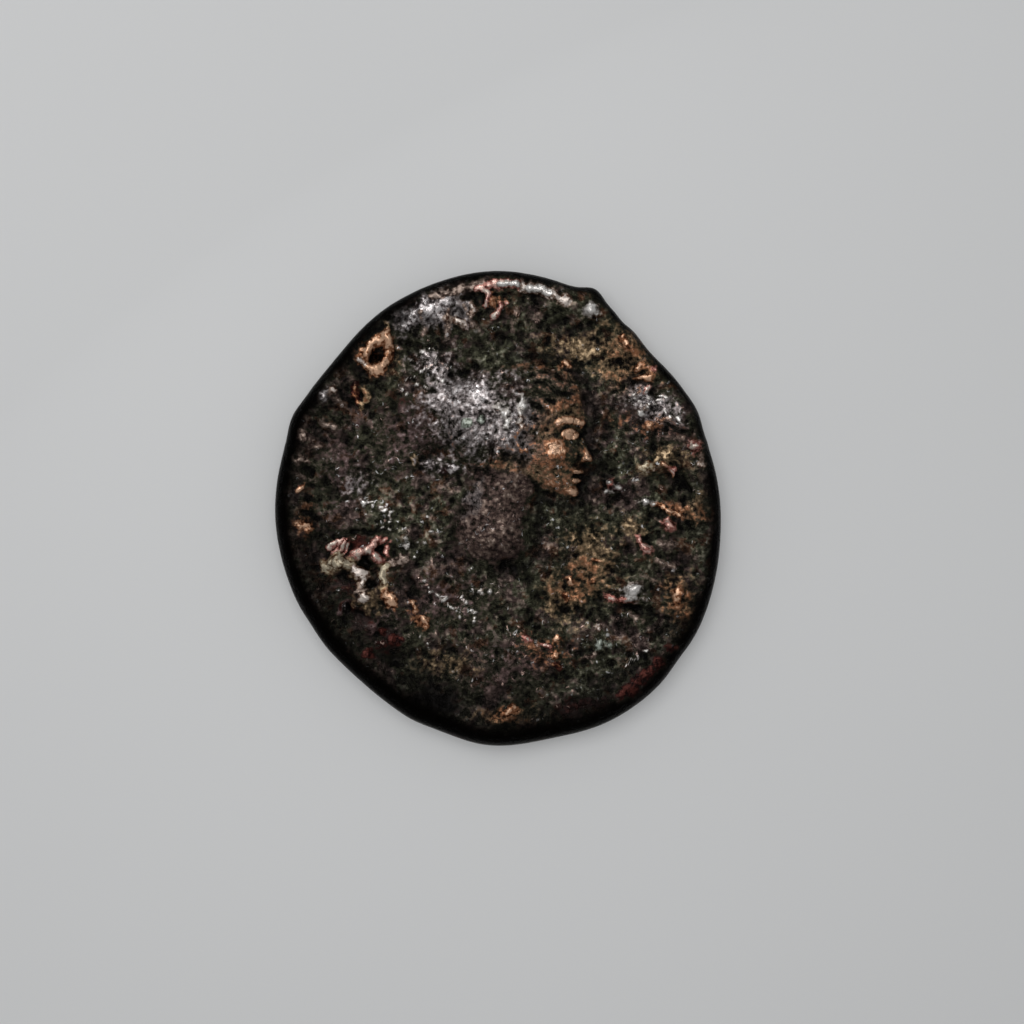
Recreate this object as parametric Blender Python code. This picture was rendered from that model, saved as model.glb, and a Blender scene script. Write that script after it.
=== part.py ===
"""An ancient struck coin lying on its reverse: a thick, uneven copper flan with a bare head facing right
inside a ring of worn strokes, and a star in a wreath on the underside.

One solid, made as a closed mesh: a disc grid for each side, joined by a rounded edge. Both sides are height
fields, built up from domes, ridges and dents whose sizes are named below. Lengths are in millimetres until
the mesh is made. +Z is up, +Y is the top of the head, and the origin is the centre of the underside.
"""

import math

import bpy
import numpy as np

MM = 0.001

# The flan's outline: a mean radius, slow lobes, then the dents and corners left by the hammer.
MEAN_RADIUS = 9.16
LOBES = (  # (how many round the edge, size, bearing of one crest in degrees)
    (1, 0.15, -36),
    (2, 0.32, 106),
    (3, 0.14, -46),
)
EDGE_MARKS = (  # (bearing, half width in degrees, how far it stands out)
    (5, 12, 0.07),
    (26, 5, 0.11),  # corner
    (46, 9, -0.27),  # long dent
    (56, 3, -0.10),  # notch at its end
    (66, 3.5, 0.31),  # ear beside the notch
    (92, 12, 0.08),
    (137, 12, -0.17),  # straight stretch
    (156, 5, 0.14),  # corner
    (180, 13, 0.07),
    (212, 5, -0.05),
    (230, 12, -0.13),  # straight stretch
    (248, 5, 0.05),
    (267, 9, 0.15),
    (285, 8, -0.08),
    (320, 5, -0.08),
)

# Heights above the table.
FIELD_LEVEL = 1.52
RIM_RISE = 0.17
REVERSE_RECESS = 0.16

# How far the rounded edge reaches in from the outline. On top it is widest towards the viewer.
TOP_ROUNDING, TOP_ROUNDING_SWING, WIDEST_AT = 0.68, 0.20, 275
BOTTOM_ROUNDING = 0.50

# Grids: cells across each side, rows round the edge, and the number of triangles kept at the end.
CELLS = 128
EDGE_ROWS = 8
TRIANGLES = 9700
FOOT_FLATNESS = 0.006  # what lies this near the table is set down on it

COPPER_COLOUR = (0.055, 0.042, 0.034, 1)
COPPER_ROUGHNESS = 0.42
COPPER_METALLIC = 0.35


# ---- shapes of relief -------------------------------------------------------------------------------------


def smoothstep(t):
    t = np.clip(t, 0, 1)
    return t * t * (3 - 2 * t)


def smooth_max(a, b, softness):
    """The higher of two surfaces, blended where they meet."""
    return 0.5 * (a + b + np.sqrt((a - b) ** 2 + softness**2) - softness)


def mound(x, y, centre, sizes, turn=0):
    """A round-topped mound of height 1, with its half length and half width, turned by degrees."""
    c, s = math.cos(math.radians(turn)), math.sin(math.radians(turn))
    dx, dy = x - centre[0], y - centre[1]
    along, across = (dx * c + dy * s) / sizes[0], (dy * c - dx * s) / sizes[1]
    return np.exp(-(along**2 + across**2))


def line_distance(x, y, points):
    """The distance to an open line through the points."""
    best = np.full(np.shape(x), 1e9)
    for (x0, y0), (x1, y1) in zip(points[:-1], points[1:]):
        dx, dy = x1 - x0, y1 - y0
        t = np.clip(((x - x0) * dx + (y - y0) * dy) / (dx * dx + dy * dy), 0, 1)
        best = np.minimum(best, np.hypot(x - x0 - t * dx, y - y0 - t * dy))
    return best


def ridge(x, y, points, width):
    """A rounded ridge of height 1 along a line."""
    return np.exp(-((line_distance(x, y, points) / width) ** 2))


def smooth_curve(points, closed=True, steps=6):
    """A smooth curve through the points."""
    points = np.array(points, float)
    if not closed:
        points = np.vstack([points[:1], points, points[-1:]])
    before, after, later = np.roll(points, 1, axis=0), np.roll(points, -1, axis=0), np.roll(points, -2, axis=0)
    curve = []
    for t in np.arange(steps) / steps:
        linear = (after - before) * t
        square = (2 * before - 5 * points + 4 * after - later) * t**2
        cube = (3 * points - before - 3 * after + later) * t**3
        curve.append(0.5 * (2 * points + linear + square + cube))
    curve = np.stack(curve, axis=1)
    return curve.reshape(-1, 2) if closed else np.vstack([curve[1:-2].reshape(-1, 2), points[-1:]])


def depth_inside(x, y, loop):
    """How far inside a closed curve each place is, and below 0 outside it."""
    inside = np.zeros(np.shape(x), bool)
    for (x0, y0), (x1, y1) in zip(loop, np.roll(loop, -1, axis=0)):
        crosses = (y0 > y) != (y1 > y)
        inside ^= crosses & (x < x0 + (y - y0) * (x1 - x0) / (y1 - y0 + 1e-12))
    away = line_distance(x, y, np.vstack([loop, loop[:1]]))
    return np.where(inside, away, -away)


def dome(depth, width):
    """Rises from 0 at an outline to 1 at width inside it."""
    return 1 - (1 - np.clip(depth / width, 0, 1)) ** 2


def wobble(x, y, cell, seed):
    """Smooth noise from -1 to 1, whose hills are about a cell across."""
    values = np.random.default_rng(seed).uniform(-1, 1, (64, 64))
    c, s = math.cos(0.7 * seed), math.sin(0.7 * seed)
    u, v = (x * c + y * s) / cell + 31.5, (y * c - x * s) / cell + 31.5
    i, j = np.floor(u).astype(int), np.floor(v).astype(int)
    fu, fv = smoothstep(u - i), smoothstep(v - j)
    i, j, i_next, j_next = i % 64, j % 64, (i + 1) % 64, (j + 1) % 64
    low = values[i, j] * (1 - fu) + values[i_next, j] * fu
    high = values[i, j_next] * (1 - fu) + values[i_next, j_next] * fu
    return low * (1 - fv) + high * fv


# ---- the flan ---------------------------------------------------------------------------------------------


def slow_radius(bearing):
    """The flan's radius without its dents and corners. Bearings are radians anticlockwise from +X."""
    radius = np.full(np.shape(bearing), MEAN_RADIUS)
    for count, size, crest in LOBES:
        radius = radius + size * np.cos(count * (bearing - math.radians(crest)))
    return radius


def outline_radius(bearing):
    """The flan's radius at each bearing."""
    radius = slow_radius(bearing)
    for at, half_width, amount in EDGE_MARKS:
        away = (np.degrees(bearing) - at + 180) % 360 - 180
        radius = radius + amount * np.exp(-((away / half_width) ** 2))
    return radius


def outline_centre():
    """The centre of the outline's bounding box, which becomes the origin."""
    bearing = np.linspace(-math.pi, math.pi, 720, endpoint=False)
    x, y = outline_radius(bearing) * (np.cos(bearing), np.sin(bearing))
    return (x.min() + x.max()) / 2, (y.min() + y.max()) / 2


def top_rounding(bearing):
    return TOP_ROUNDING + TOP_ROUNDING_SWING * np.cos(bearing - math.radians(WIDEST_AT))


def bottom_rounding(bearing):
    return np.full(np.shape(bearing), BOTTOM_ROUNDING)


def nearness_to_edge(x, y):
    """0 in the middle and 1 on the flan's slow outline."""
    return np.hypot(x, y) / slow_radius(np.arctan2(y, x))


# ---- the head ---------------------------------------------------------------------------------------------
# Places on the head are in head heights: u towards the face and v up, from the middle of the head.

HEAD_CENTRE = (1.20, 3.15)
HEAD_HEIGHT = 5.5
HEAD_TILT = math.radians(4)
HEAD_RELIEF, NECK_RELIEF = 0.46, 0.42

CHIN, NOSE_BASE, BROW, HAIRLINE, CROWN = -0.50, -0.227, 0.047, 0.32, 0.50  # equal thirds of a face
FACE_FRONT = 0.42
HEAD_OUTLINE = (
    (0.02, CROWN),
    (0.22, 0.47),
    (0.36, HAIRLINE + 0.04),
    (FACE_FRONT, 0.20),
    (FACE_FRONT + 0.01, BROW + 0.03),
    (FACE_FRONT - 0.02, 0.005),
    (FACE_FRONT + 0.03, -0.09),
    (FACE_FRONT + 0.08, NOSE_BASE + 0.05),
    (FACE_FRONT + 0.07, NOSE_BASE + 0.005),
    (FACE_FRONT + 0.015, NOSE_BASE - 0.015),
    (FACE_FRONT + 0.025, -0.29),
    (FACE_FRONT + 0.005, -0.318),
    (FACE_FRONT + 0.015, -0.35),
    (FACE_FRONT - 0.01, -0.39),
    (FACE_FRONT + 0.005, -0.44),
    (FACE_FRONT - 0.045, CHIN + 0.01),
    (0.27, CHIN + 0.01),
    (0.12, -0.43),
    (-0.02, -0.36),
    (-0.22, -0.34),
    (-0.43, -0.28),
    (-0.58, -0.13),
    (-0.64, 0.07),
    (-0.57, 0.28),
    (-0.36, 0.43),
)
NECK_OUTLINE = (
    (0.22, -0.10),
    (0.16, -0.40),
    (0.08, -0.54),
    (0.08, -0.70),
    (0.10, -0.86),
    (0.00, -0.98),
    (-0.20, -1.04),
    (-0.40, -0.98),
    (-0.52, -0.82),
    (-0.51, -0.62),
    (-0.44, -0.42),
    (-0.38, -0.10),
    (-0.08, 0.10),
)
HAIR_OUTLINE = (
    (0.02, CROWN + 0.01),
    (0.22, 0.48),
    (0.37, HAIRLINE + 0.03),
    (0.36, 0.21),
    (0.20, 0.17),
    (0.10, 0.05),
    (0.05, -0.04),
    (-0.06, 0.02),
    (-0.14, -0.08),
    (-0.20, -0.29),
    (-0.43, -0.30),
    (-0.59, -0.13),
    (-0.65, 0.07),
    (-0.58, 0.29),
    (-0.36, 0.44),
)
HAIR_FRONT = ((0.35, 0.24), (0.20, 0.17), (0.10, 0.06), (0.05, -0.03))
NAPE_FRONT = ((-0.15, -0.10), (-0.19, -0.20), (-0.22, -0.29))
WHORL = (-0.30, 0.22)
CURLS, NAPE_CURLS = 8, 4
STRANDS = 26
FACE_FORMS = (  # (centre, half sizes, turn, height): mounds and hollows on the face
    ((0.310, -0.010), (0.085, 0.045), 0, -0.090),  # eye socket
    ((0.314, -0.018), (0.046, 0.026), -6, 0.130),  # eye
    ((0.220, -0.130), (0.110, 0.080), -30, 0.060),  # cheek
    ((0.435, -0.195), (0.032, 0.028), 0, 0.090),  # wing of the nose
    ((0.375, -0.430), (0.050, 0.045), 0, 0.080),  # chin
    ((0.200, -0.310), (0.110, 0.050), 20, -0.060),  # hollow below the cheek
)
FACE_LINES = (  # (line, width, height)
    (((0.22, 0.066), (0.31, 0.084), (0.41, 0.060)), 0.026, 0.080),  # brow
    (((0.405, 0.020), (0.430, -0.080), (0.465, -0.170)), 0.026, 0.090),  # bridge of the nose
    (((0.36, -0.318), (0.40, -0.314), (0.45, -0.318)), 0.018, -0.080),  # mouth
    (((0.37, -0.288), (0.43, -0.286)), 0.018, 0.080),  # upper lip
    (((0.37, -0.350), (0.42, -0.352)), 0.018, 0.080),  # lower lip
)
EAR = ((-0.005, 0.005), (-0.055, -0.010), (-0.080, -0.060), (-0.065, -0.120), (-0.025, -0.165), (0.0, -0.150))
JAW = ((-0.03, -0.20), (0.01, -0.33), (0.12, -0.43), (0.24, -0.49))


def head_places(x, y):
    """(u, v) of places on the coin, in head heights."""
    dx, dy = (x - HEAD_CENTRE[0]) / HEAD_HEIGHT, (y - HEAD_CENTRE[1]) / HEAD_HEIGHT
    c, s = math.cos(HEAD_TILT), math.sin(HEAD_TILT)
    return dx * c - dy * s, dx * s + dy * c


def points_along(line, count):
    """Evenly spaced points along an open line."""
    line = np.array(line, float)
    run = np.concatenate([[0], np.cumsum(np.hypot(*np.diff(line, axis=0).T))])
    at = np.linspace(0, run[-1], count)
    return np.stack([np.interp(at, run, line[:, k]) for k in (0, 1)], axis=1)


def hair_relief(u, v):
    """Strands combed out from the whorl, ending in a row of curls round the face and at the nape."""
    depth = depth_inside(u, v, smooth_curve(HAIR_OUTLINE))
    du, dv = u - WHORL[0], v - WHORL[1]
    reach = np.hypot(du, dv)
    sweep = np.arctan2(dv, du) + 0.9 * reach + 0.09 * wobble(u, v, 0.14, 51)
    strands = np.cos(STRANDS * sweep) * smoothstep((reach - 0.08) / 0.36)
    relief = smoothstep(depth / 0.04) * (0.06 + 0.038 * strands)
    for at in (*points_along(HAIR_FRONT, CURLS), *points_along(NAPE_FRONT, NAPE_CURLS)):
        relief = relief + 0.100 * mound(u, v, at, (0.036, 0.036))
        relief = relief - 0.060 * mound(u, v, at, (0.014, 0.014))
    return relief


def face_relief(u, v):
    relief = np.zeros(np.shape(u))
    for centre, sizes, turn, height in FACE_FORMS:
        relief = relief + height * mound(u, v, centre, sizes, turn)
    for line, width, height in FACE_LINES:
        relief = relief + height * ridge(u, v, smooth_curve(line, closed=False), width)
    return relief


def bust_form(x, y):
    """The rounded form of the head and the cut-off neck, without what is on it."""
    u, v = head_places(x, y)
    head = depth_inside(u, v, smooth_curve(HEAD_OUTLINE))
    neck = depth_inside(u, v, smooth_curve(NECK_OUTLINE))
    return smooth_max(HEAD_RELIEF * dome(head, 0.24), NECK_RELIEF * dome(neck, 0.27), 0.05)


def bust_detail(x, y):
    """Face, jaw, ear and hair."""
    u, v = head_places(x, y)
    head = depth_inside(u, v, smooth_curve(HEAD_OUTLINE))
    neck = depth_inside(u, v, smooth_curve(NECK_OUTLINE))
    detail = face_relief(u, v) * smoothstep(head / 0.03) + hair_relief(u, v)
    detail = detail - 0.07 * ridge(u, v, smooth_curve(JAW, closed=False), 0.030) * smoothstep(neck / 0.05)
    return detail + 0.10 * ridge(u, v, smooth_curve(EAR, closed=False), 0.020)


# ---- what surrounds the head ------------------------------------------------------------------------------

LEGEND_ARCS = (  # (first bearing, last bearing, radius, strokes): rows of worn strokes, read clockwise
    (188, 154, 7.75, 5),
    (146, 122, 7.75, 4),
    (112, 78, 7.80, 6),
    (40, 22, 7.30, 4),
    (14, -38, 6.90, 9),
)
STROKE_LENGTH, STROKE_WIDTH, STROKE_HEIGHT = 1.0, 0.18, 0.13

CORROSION_SWELLS = (  # (hill size, height, seed)
    (2.6, 0.070, 1),
    (1.2, 0.070, 2),
    (0.7, 0.030, 3),
)
SWELLINGS = (  # (x, y, half length, half width, turn, height): broad lumps and worn dips
    (-2.45, 7.85, 1.10, 0.50, 25, 0.10),
    (2.40, -6.80, 1.10, 0.60, 15, -0.10),
    (-3.50, 0.90, 1.60, 1.00, 30, -0.06),
    (5.70, -6.80, 1.60, 0.40, 42, 0.10),
    (-5.20, -2.50, 1.30, 1.10, -60, 0.10),
    (7.30, -3.50, 0.90, 0.60, 70, 0.06),
    (0.60, -8.10, 0.80, 0.35, 0, 0.12),
    (6.60, 1.80, 0.80, 0.40, 20, 0.08),
    (-2.40, 5.70, 0.90, 0.50, -50, 0.06),
)
LUMPS = (  # (x, y, half length, half width, turn, height)
    (-1.62, 7.42, 0.34, 0.22, -15, 0.13),
    (-1.02, 7.90, 0.22, 0.26, -20, 0.13),
    (0.00, 7.98, 0.28, 0.24, 40, 0.14),
    (-6.80, 4.50, 0.30, 0.22, 25, 0.14),
    (-7.80, 2.85, 0.24, 0.28, 0, 0.12),
    (-7.62, -0.72, 0.32, 0.26, -20, 0.13),
    (3.76, 7.86, 0.28, 0.26, 0, 0.17),
    (4.98, 6.72, 0.22, 0.28, 25, 0.12),
    (7.95, 2.42, 0.28, 0.24, -40, 0.17),
    (6.60, 2.15, 0.50, 0.20, 22, 0.11),
    (4.76, 0.82, 0.34, 0.28, -20, 0.18),
    (5.92, -1.58, 0.28, 0.20, -30, 0.13),
    (5.40, -3.35, 0.38, 0.34, 30, 0.24),
    (3.70, -5.90, 0.36, 0.22, 15, 0.12),
    (0.60, -8.10, 0.40, 0.24, 10, 0.10),
    (-3.36, -3.90, 0.32, 0.22, -50, 0.16),
    (-2.90, -4.45, 0.36, 0.22, -58, 0.16),
    (-5.20, -5.85, 0.36, 0.28, 0, 0.14),
    (-5.40, -3.62, 0.26, 0.24, 0, 0.13),
)
RIDGES = (  # (line, width, height)
    # the ring round a hole, top left
    (((-4.62, 6.92), (-5.05, 6.68), (-5.40, 6.25), (-5.52, 5.80)), 0.32, 0.22),
    (((-5.46, 5.72), (-5.15, 5.42), (-4.78, 5.42), (-4.48, 5.66)), 0.27, 0.22),
    (((-4.42, 5.75), (-4.38, 6.20), (-4.40, 6.65), (-4.62, 6.95)), 0.24, 0.20),
    (((-5.60, 4.95), (-5.45, 4.50), (-5.44, 4.05)), 0.24, 0.13),
    # the rim's worn crest
    (((-2.60, 8.42), (-1.30, 8.76), (0.00, 8.86)), 0.20, 0.08),
    (((0.00, 8.84), (0.55, 8.86), (1.10, 8.82), (1.70, 8.70), (2.20, 8.50), (2.70, 8.30)), 0.20, 0.11),
    # the web at the lower left
    (((-6.70, -2.00), (-6.45, -1.60), (-6.10, -1.42)), 0.28, 0.22),
    (((-6.45, -2.15), (-6.15, -2.40), (-5.85, -2.15)), 0.26, 0.22),
    (((-5.85, -2.30), (-5.65, -2.65), (-5.45, -2.95)), 0.24, 0.18),
    (((-5.95, -1.95), (-5.50, -1.85), (-5.05, -1.65)), 0.22, 0.15),
    (((-5.05, -1.72), (-4.98, -1.32), (-4.60, -1.20), (-4.30, -1.55), (-4.45, -1.98)), 0.22, 0.19),
    (((-3.95, -2.05), (-4.35, -2.25), (-4.60, -2.60), (-4.65, -3.10), (-4.50, -4.05)), 0.22, 0.19),
)
PITS = (  # (x, y, half length, half width, turn, depth)
    (-4.92, 6.05, 0.26, 0.22, 65, 0.38),
    (-1.00, 8.42, 0.36, 0.22, 0, 0.16),
    (-5.25, -2.22, 0.30, 0.22, -15, 0.22),
    (-6.16, -2.90, 0.40, 0.26, -30, 0.18),
    (-5.05, -3.05, 0.24, 0.24, 0, 0.16),
    (-5.45, -4.30, 0.26, 0.22, 0, 0.14),
    (-5.60, -0.95, 1.10, 0.20, 8, 0.11),
    (5.35, -4.05, 0.50, 0.22, 0, 0.13),
)


def legend_relief(x, y):
    """Rows of short strokes round the edge. They lean this way and that, and carry no signs."""
    relief = np.zeros(np.shape(x))
    count = 0
    for first, last, row_radius, strokes in LEGEND_ARCS:
        for bearing in np.linspace(first, last, strokes):
            count += 1
            angle = math.radians(bearing)
            lean = angle + math.radians((count * 37) % 50 - 25)
            radius = row_radius + 0.22 * math.sin(2.1 * count)
            half = STROKE_LENGTH / 2 * (0.75 + 0.25 * math.cos(1.7 * count))
            middle = np.array([math.cos(angle), math.sin(angle)]) * radius
            reach = np.array([math.cos(lean), math.sin(lean)]) * half
            height = STROKE_HEIGHT * (0.75 + 0.25 * math.sin(5.3 * count))
            relief = np.maximum(relief, height * ridge(x, y, (middle - reach, middle + reach), STROKE_WIDTH))
    return relief


def bent(x, y):
    """Places moved a little this way and that, so that round shapes come out uneven."""
    x_bent = x + 0.11 * wobble(x, y, 0.55, 31)
    y_bent = y + 0.11 * wobble(x, y, 0.55, 33)
    return x_bent, y_bent


def corrosion_relief(x, y, roughness):
    """Roughness is 1 on the field and less on the head, which the corrosion has left smoother."""
    relief = np.zeros(np.shape(x))
    for hill, height, seed in CORROSION_SWELLS:
        relief = relief + height * wobble(x, y, hill, seed) * roughness
    for cx, cy, long, wide, turn, height in SWELLINGS:
        relief = relief + height * mound(x, y, (cx, cy), (long, wide), turn)
    x, y = bent(x, y)
    raised = np.zeros(np.shape(x))
    for cx, cy, long, wide, turn, height in LUMPS:
        raised = np.maximum(raised, height * mound(x, y, (cx, cy), (long, wide), turn))
    for line, width, height in RIDGES:
        raised = np.maximum(raised, height * ridge(x, y, smooth_curve(line, closed=False), width))
    for cx, cy, long, wide, turn, depth in PITS:
        relief = relief - depth * mound(x, y, (cx, cy), (long, wide), turn)
    return relief + raised


def obverse_height(x, y):
    """The height above the table of the upper side."""
    rim = RIM_RISE * smoothstep((nearness_to_edge(x, y) - 0.83) / 0.12)
    bust = bust_form(x, y)
    struck = smooth_max(bust + bust_detail(x, y), legend_relief(x, y), 0.02)
    return FIELD_LEVEL + rim + struck + corrosion_relief(x, y, 1 - 0.5 * smoothstep(bust / 0.25))


# ---- the underside ----------------------------------------------------------------------------------------

WREATH_RADIUS, WREATH_LEAVES, ROWS_APART = 5.9, 24, 0.84
LEAF_SIZES, LEAF_SPLAY, LEAF_HEIGHT = (0.66, 0.25), 24, 0.13
STAR_RAYS, STAR_REACH, RAY_WIDTH, RAY_HEIGHT = 8, 2.9, 0.28, 0.13
BOSS_SIZE, BOSS_HEIGHT = 0.75, 0.18
REVERSE_DENTS = (  # (x, y, half length, half width, turn, depth)
    (3.6, 5.0, 1.1, 0.7, 30, 0.07),
    (-4.4, -3.2, 1.3, 0.8, -40, 0.08),
    (-6.9, 3.6, 0.8, 0.5, 60, 0.12),
    (5.9, -5.3, 0.9, 0.6, -50, 0.12),
)


def wreath_relief(x, y):
    """Two rows of leaves, climbing both sides from the bottom to the top."""
    relief = np.zeros(np.shape(x))
    for k in range(WREATH_LEAVES):
        angle = 2 * math.pi * (k + 0.5) / WREATH_LEAVES - math.pi / 2
        climb = 1 if math.cos(angle) > 0 else -1
        for row in (-0.5, 0.5):
            radius = WREATH_RADIUS + row * ROWS_APART
            centre = (radius * math.cos(angle), radius * math.sin(angle))
            turn = math.degrees(angle) + 90 - 2 * row * climb * LEAF_SPLAY
            relief = np.maximum(relief, LEAF_HEIGHT * mound(x, y, centre, LEAF_SIZES, turn))
    return relief


def star_relief(x, y):
    relief = BOSS_HEIGHT * mound(x, y, (0, 0), (BOSS_SIZE, BOSS_SIZE))
    for k in range(STAR_RAYS):
        angle = 2 * math.pi * k / STAR_RAYS
        middle = (STAR_REACH / 2 * math.cos(angle), STAR_REACH / 2 * math.sin(angle))
        ray = mound(x, y, middle, (STAR_REACH / 2, RAY_WIDTH), math.degrees(angle))
        relief = np.maximum(relief, RAY_HEIGHT * ray)
    return relief


def reverse_height(x, y):
    """The height above the table of the underside. It is worn flat wherever it touches the table."""
    relief = np.maximum(wreath_relief(x, y), star_relief(x, y))
    relief = relief + 0.035 * wobble(x, y, 1.7, 11) + 0.020 * wobble(x, y, 0.8, 12)
    for cx, cy, long, wide, turn, depth in REVERSE_DENTS:
        relief = relief - depth * mound(x, y, (cx, cy), (long, wide), turn)
    rim = (REVERSE_RECESS + 0.05) * smoothstep((nearness_to_edge(x, y) - 0.80) / 0.08)
    return np.clip(REVERSE_RECESS - relief - rim, 0, None)


# ---- the mesh ---------------------------------------------------------------------------------------------


def disc_grid(cells):
    """(rho, bearing) of the points of a square grid bent into a disc of radius 1."""
    steps = np.linspace(-1, 1, cells + 1)
    a, b = np.meshgrid(steps, steps, indexing="ij")
    wide = np.abs(a) >= np.abs(b)
    rho = np.where(wide, a, b)
    across = np.where(wide, b, a) / np.where(rho == 0, 1, rho)
    angle = np.where(wide, math.pi / 4 * across, math.pi / 2 - math.pi / 4 * across)
    x, y = rho * np.cos(angle), rho * np.sin(angle)
    return np.hypot(x, y), np.arctan2(y, x)


def grid_index(cells, i, j):
    return i * (cells + 1) + j


def grid_border(cells):
    """Indices of a grid's border points, anticlockwise."""
    side = np.arange(cells)
    none, full = 0 * side, 0 * side + cells
    sides = ((side, none), (full, side), (cells - side, full), (none, cells - side))
    return np.concatenate([grid_index(cells, i, j) for i, j in sides])


def grid_faces(cells, first, facing_up):
    i, j = np.meshgrid(np.arange(cells), np.arange(cells), indexing="ij")
    corners = ((i, j), (i + 1, j), (i + 1, j + 1), (i, j + 1))
    faces = np.stack([first + grid_index(cells, a, b).ravel() for a, b in corners], axis=1)
    return (faces if facing_up else faces[:, ::-1]).tolist()


def side_points(rounding, height):
    """The points of one side: a disc grid stretched to the outline, less the edge's rounding."""
    rho, bearing = disc_grid(CELLS)
    reach = rho * (outline_radius(bearing) - rounding(bearing))
    x, y = reach * np.cos(bearing), reach * np.sin(bearing)
    return np.stack([x, y, height(x, y)], axis=-1).reshape(-1, 3)


def edge_rows(top, under):
    """Rows of points round the edge, from the border of the top to the border of the underside."""
    bearing = np.arctan2(top[:, 1], top[:, 0])
    outer = outline_radius(bearing)
    middle = (top[:, 2] + under[:, 2]) / 2
    rows = []
    for k in range(1, EDGE_ROWS):
        angle = math.pi * k / EDGE_ROWS
        near = top if math.cos(angle) > 0 else under
        inner = np.hypot(near[:, 0], near[:, 1])
        radius = inner + (outer - inner) * math.sin(angle) ** 0.8
        z = middle + (near[:, 2] - middle) * abs(math.cos(angle)) ** 0.8
        rows.append(np.stack([radius * np.cos(bearing), radius * np.sin(bearing), z], axis=1))
    return rows


def coin_mesh():
    """The whole coin as one closed mesh, in metres."""
    top = side_points(top_rounding, obverse_height)
    under = side_points(bottom_rounding, reverse_height)
    border = grid_border(CELLS)
    rows = edge_rows(top[border], under[border])
    points = np.concatenate([top, *rows, under])
    points[:, :2] -= outline_centre()

    first_row, first_under = len(top), len(top) + len(border) * len(rows)
    loops = [border]
    loops += [first_row + k * len(border) + np.arange(len(border)) for k in range(len(rows))]
    loops += [first_under + border]
    faces = grid_faces(CELLS, 0, facing_up=True) + grid_faces(CELLS, first_under, facing_up=False)
    for upper, lower in zip(loops[:-1], loops[1:]):
        faces += np.stack([upper, lower, np.roll(lower, -1), np.roll(upper, -1)], axis=1).tolist()

    mesh = bpy.data.meshes.new("coin")
    mesh.from_pydata((points * MM).tolist(), [], faces)
    mesh.update()
    mesh.shade_smooth()
    return mesh


def patinated_copper():
    material = bpy.data.materials.new("patinated_copper")
    material.use_nodes = True
    shader = material.node_tree.nodes["Principled BSDF"]
    shader.inputs["Base Color"].default_value = COPPER_COLOUR
    shader.inputs["Roughness"].default_value = COPPER_ROUGHNESS
    shader.inputs["Metallic"].default_value = COPPER_METALLIC
    return material


def thin_out(coin):
    """Fewer triangles where the surface is plain, so that most are left for the head."""
    modifier = coin.modifiers.new("thin_out", "DECIMATE")
    modifier.ratio = TRIANGLES / (2 * len(coin.data.polygons))
    modifier.use_collapse_triangulate = True
    thinned = coin.evaluated_get(bpy.context.evaluated_depsgraph_get())
    coin.data = bpy.data.meshes.new_from_object(thinned)
    coin.modifiers.clear()


def set_down(mesh):
    """Makes the worn rim of the underside a true flat on the table."""
    for vertex in mesh.vertices:
        if vertex.co.z < FOOT_FLATNESS * MM:
            vertex.co.z = 0


def main():
    for old in list(bpy.data.objects):
        bpy.data.objects.remove(old)
    mesh = coin_mesh()
    mesh.materials.append(patinated_copper())
    coin = bpy.data.objects.new("coin", mesh)
    bpy.context.scene.collection.objects.link(coin)
    thin_out(coin)
    set_down(coin.data)


main()
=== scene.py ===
"""The finished look of an ancient struck coin lying on a pale table, seen from straight above.

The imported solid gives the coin's place and size. A finer mesh of the same form replaces it: the same outline,
rim, head, strokes and star, with the strands of the hair and the grain of the corrosion added. Lengths are in
millimetres until the mesh is made. +Z is up, +Y is the top of the head, and the origin is under the middle.
"""

from functools import reduce
from math import cos, degrees, pi, radians, sin

import bpy
import numpy as np
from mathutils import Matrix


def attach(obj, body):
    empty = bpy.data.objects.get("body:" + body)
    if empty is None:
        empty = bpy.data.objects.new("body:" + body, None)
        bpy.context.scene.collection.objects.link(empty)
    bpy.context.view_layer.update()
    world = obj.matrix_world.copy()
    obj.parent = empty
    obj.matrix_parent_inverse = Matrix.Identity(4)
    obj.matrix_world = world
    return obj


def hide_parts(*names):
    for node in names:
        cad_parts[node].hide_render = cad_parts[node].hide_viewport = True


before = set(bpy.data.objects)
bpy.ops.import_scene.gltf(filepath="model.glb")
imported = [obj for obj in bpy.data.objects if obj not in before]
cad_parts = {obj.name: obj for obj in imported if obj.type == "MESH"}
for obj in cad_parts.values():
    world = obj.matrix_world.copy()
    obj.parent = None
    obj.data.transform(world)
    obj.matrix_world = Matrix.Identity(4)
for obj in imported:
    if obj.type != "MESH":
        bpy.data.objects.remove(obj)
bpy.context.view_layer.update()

MM = 0.001

# ---- the flan's sizes ----

MEAN_RADIUS = 9.16
LOBES = (  # (how many round the edge, size, bearing of one crest in degrees)
    (1, 0.15, -36),
    (2, 0.32, 106),
    (3, 0.14, -46),
)
EDGE_MARKS = (  # (bearing, half width in degrees, how far it stands out)
    (5, 12, 0.07),
    (26, 5, 0.11),  # corner
    (46, 9, -0.27),  # long dent
    (56, 3, -0.10),  # notch at its end
    (66, 3.5, 0.31),  # ear beside the notch
    (92, 12, 0.08),
    (137, 12, -0.17),  # straight stretch
    (156, 5, 0.14),  # corner
    (180, 13, 0.07),
    (212, 5, -0.05),
    (230, 12, -0.13),  # straight stretch
    (248, 5, 0.05),
    (267, 9, 0.15),
    (285, 8, -0.08),
    (320, 5, -0.08),
)
FIELD_LEVEL = 1.52
RIM_RISE, RIM_START, RIM_SLOPE = 0.17, 0.83, 0.12  # start and slope are shares of the way to the edge
TOP_ROUNDING, TOP_ROUNDING_SWING, WIDEST_AT = 0.68, 0.20, 275
BOTTOM_ROUNDING = 0.50
EDGE_SHAPE = 0.8  # the power that makes the edge squarer than a circle, which has 1

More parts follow.
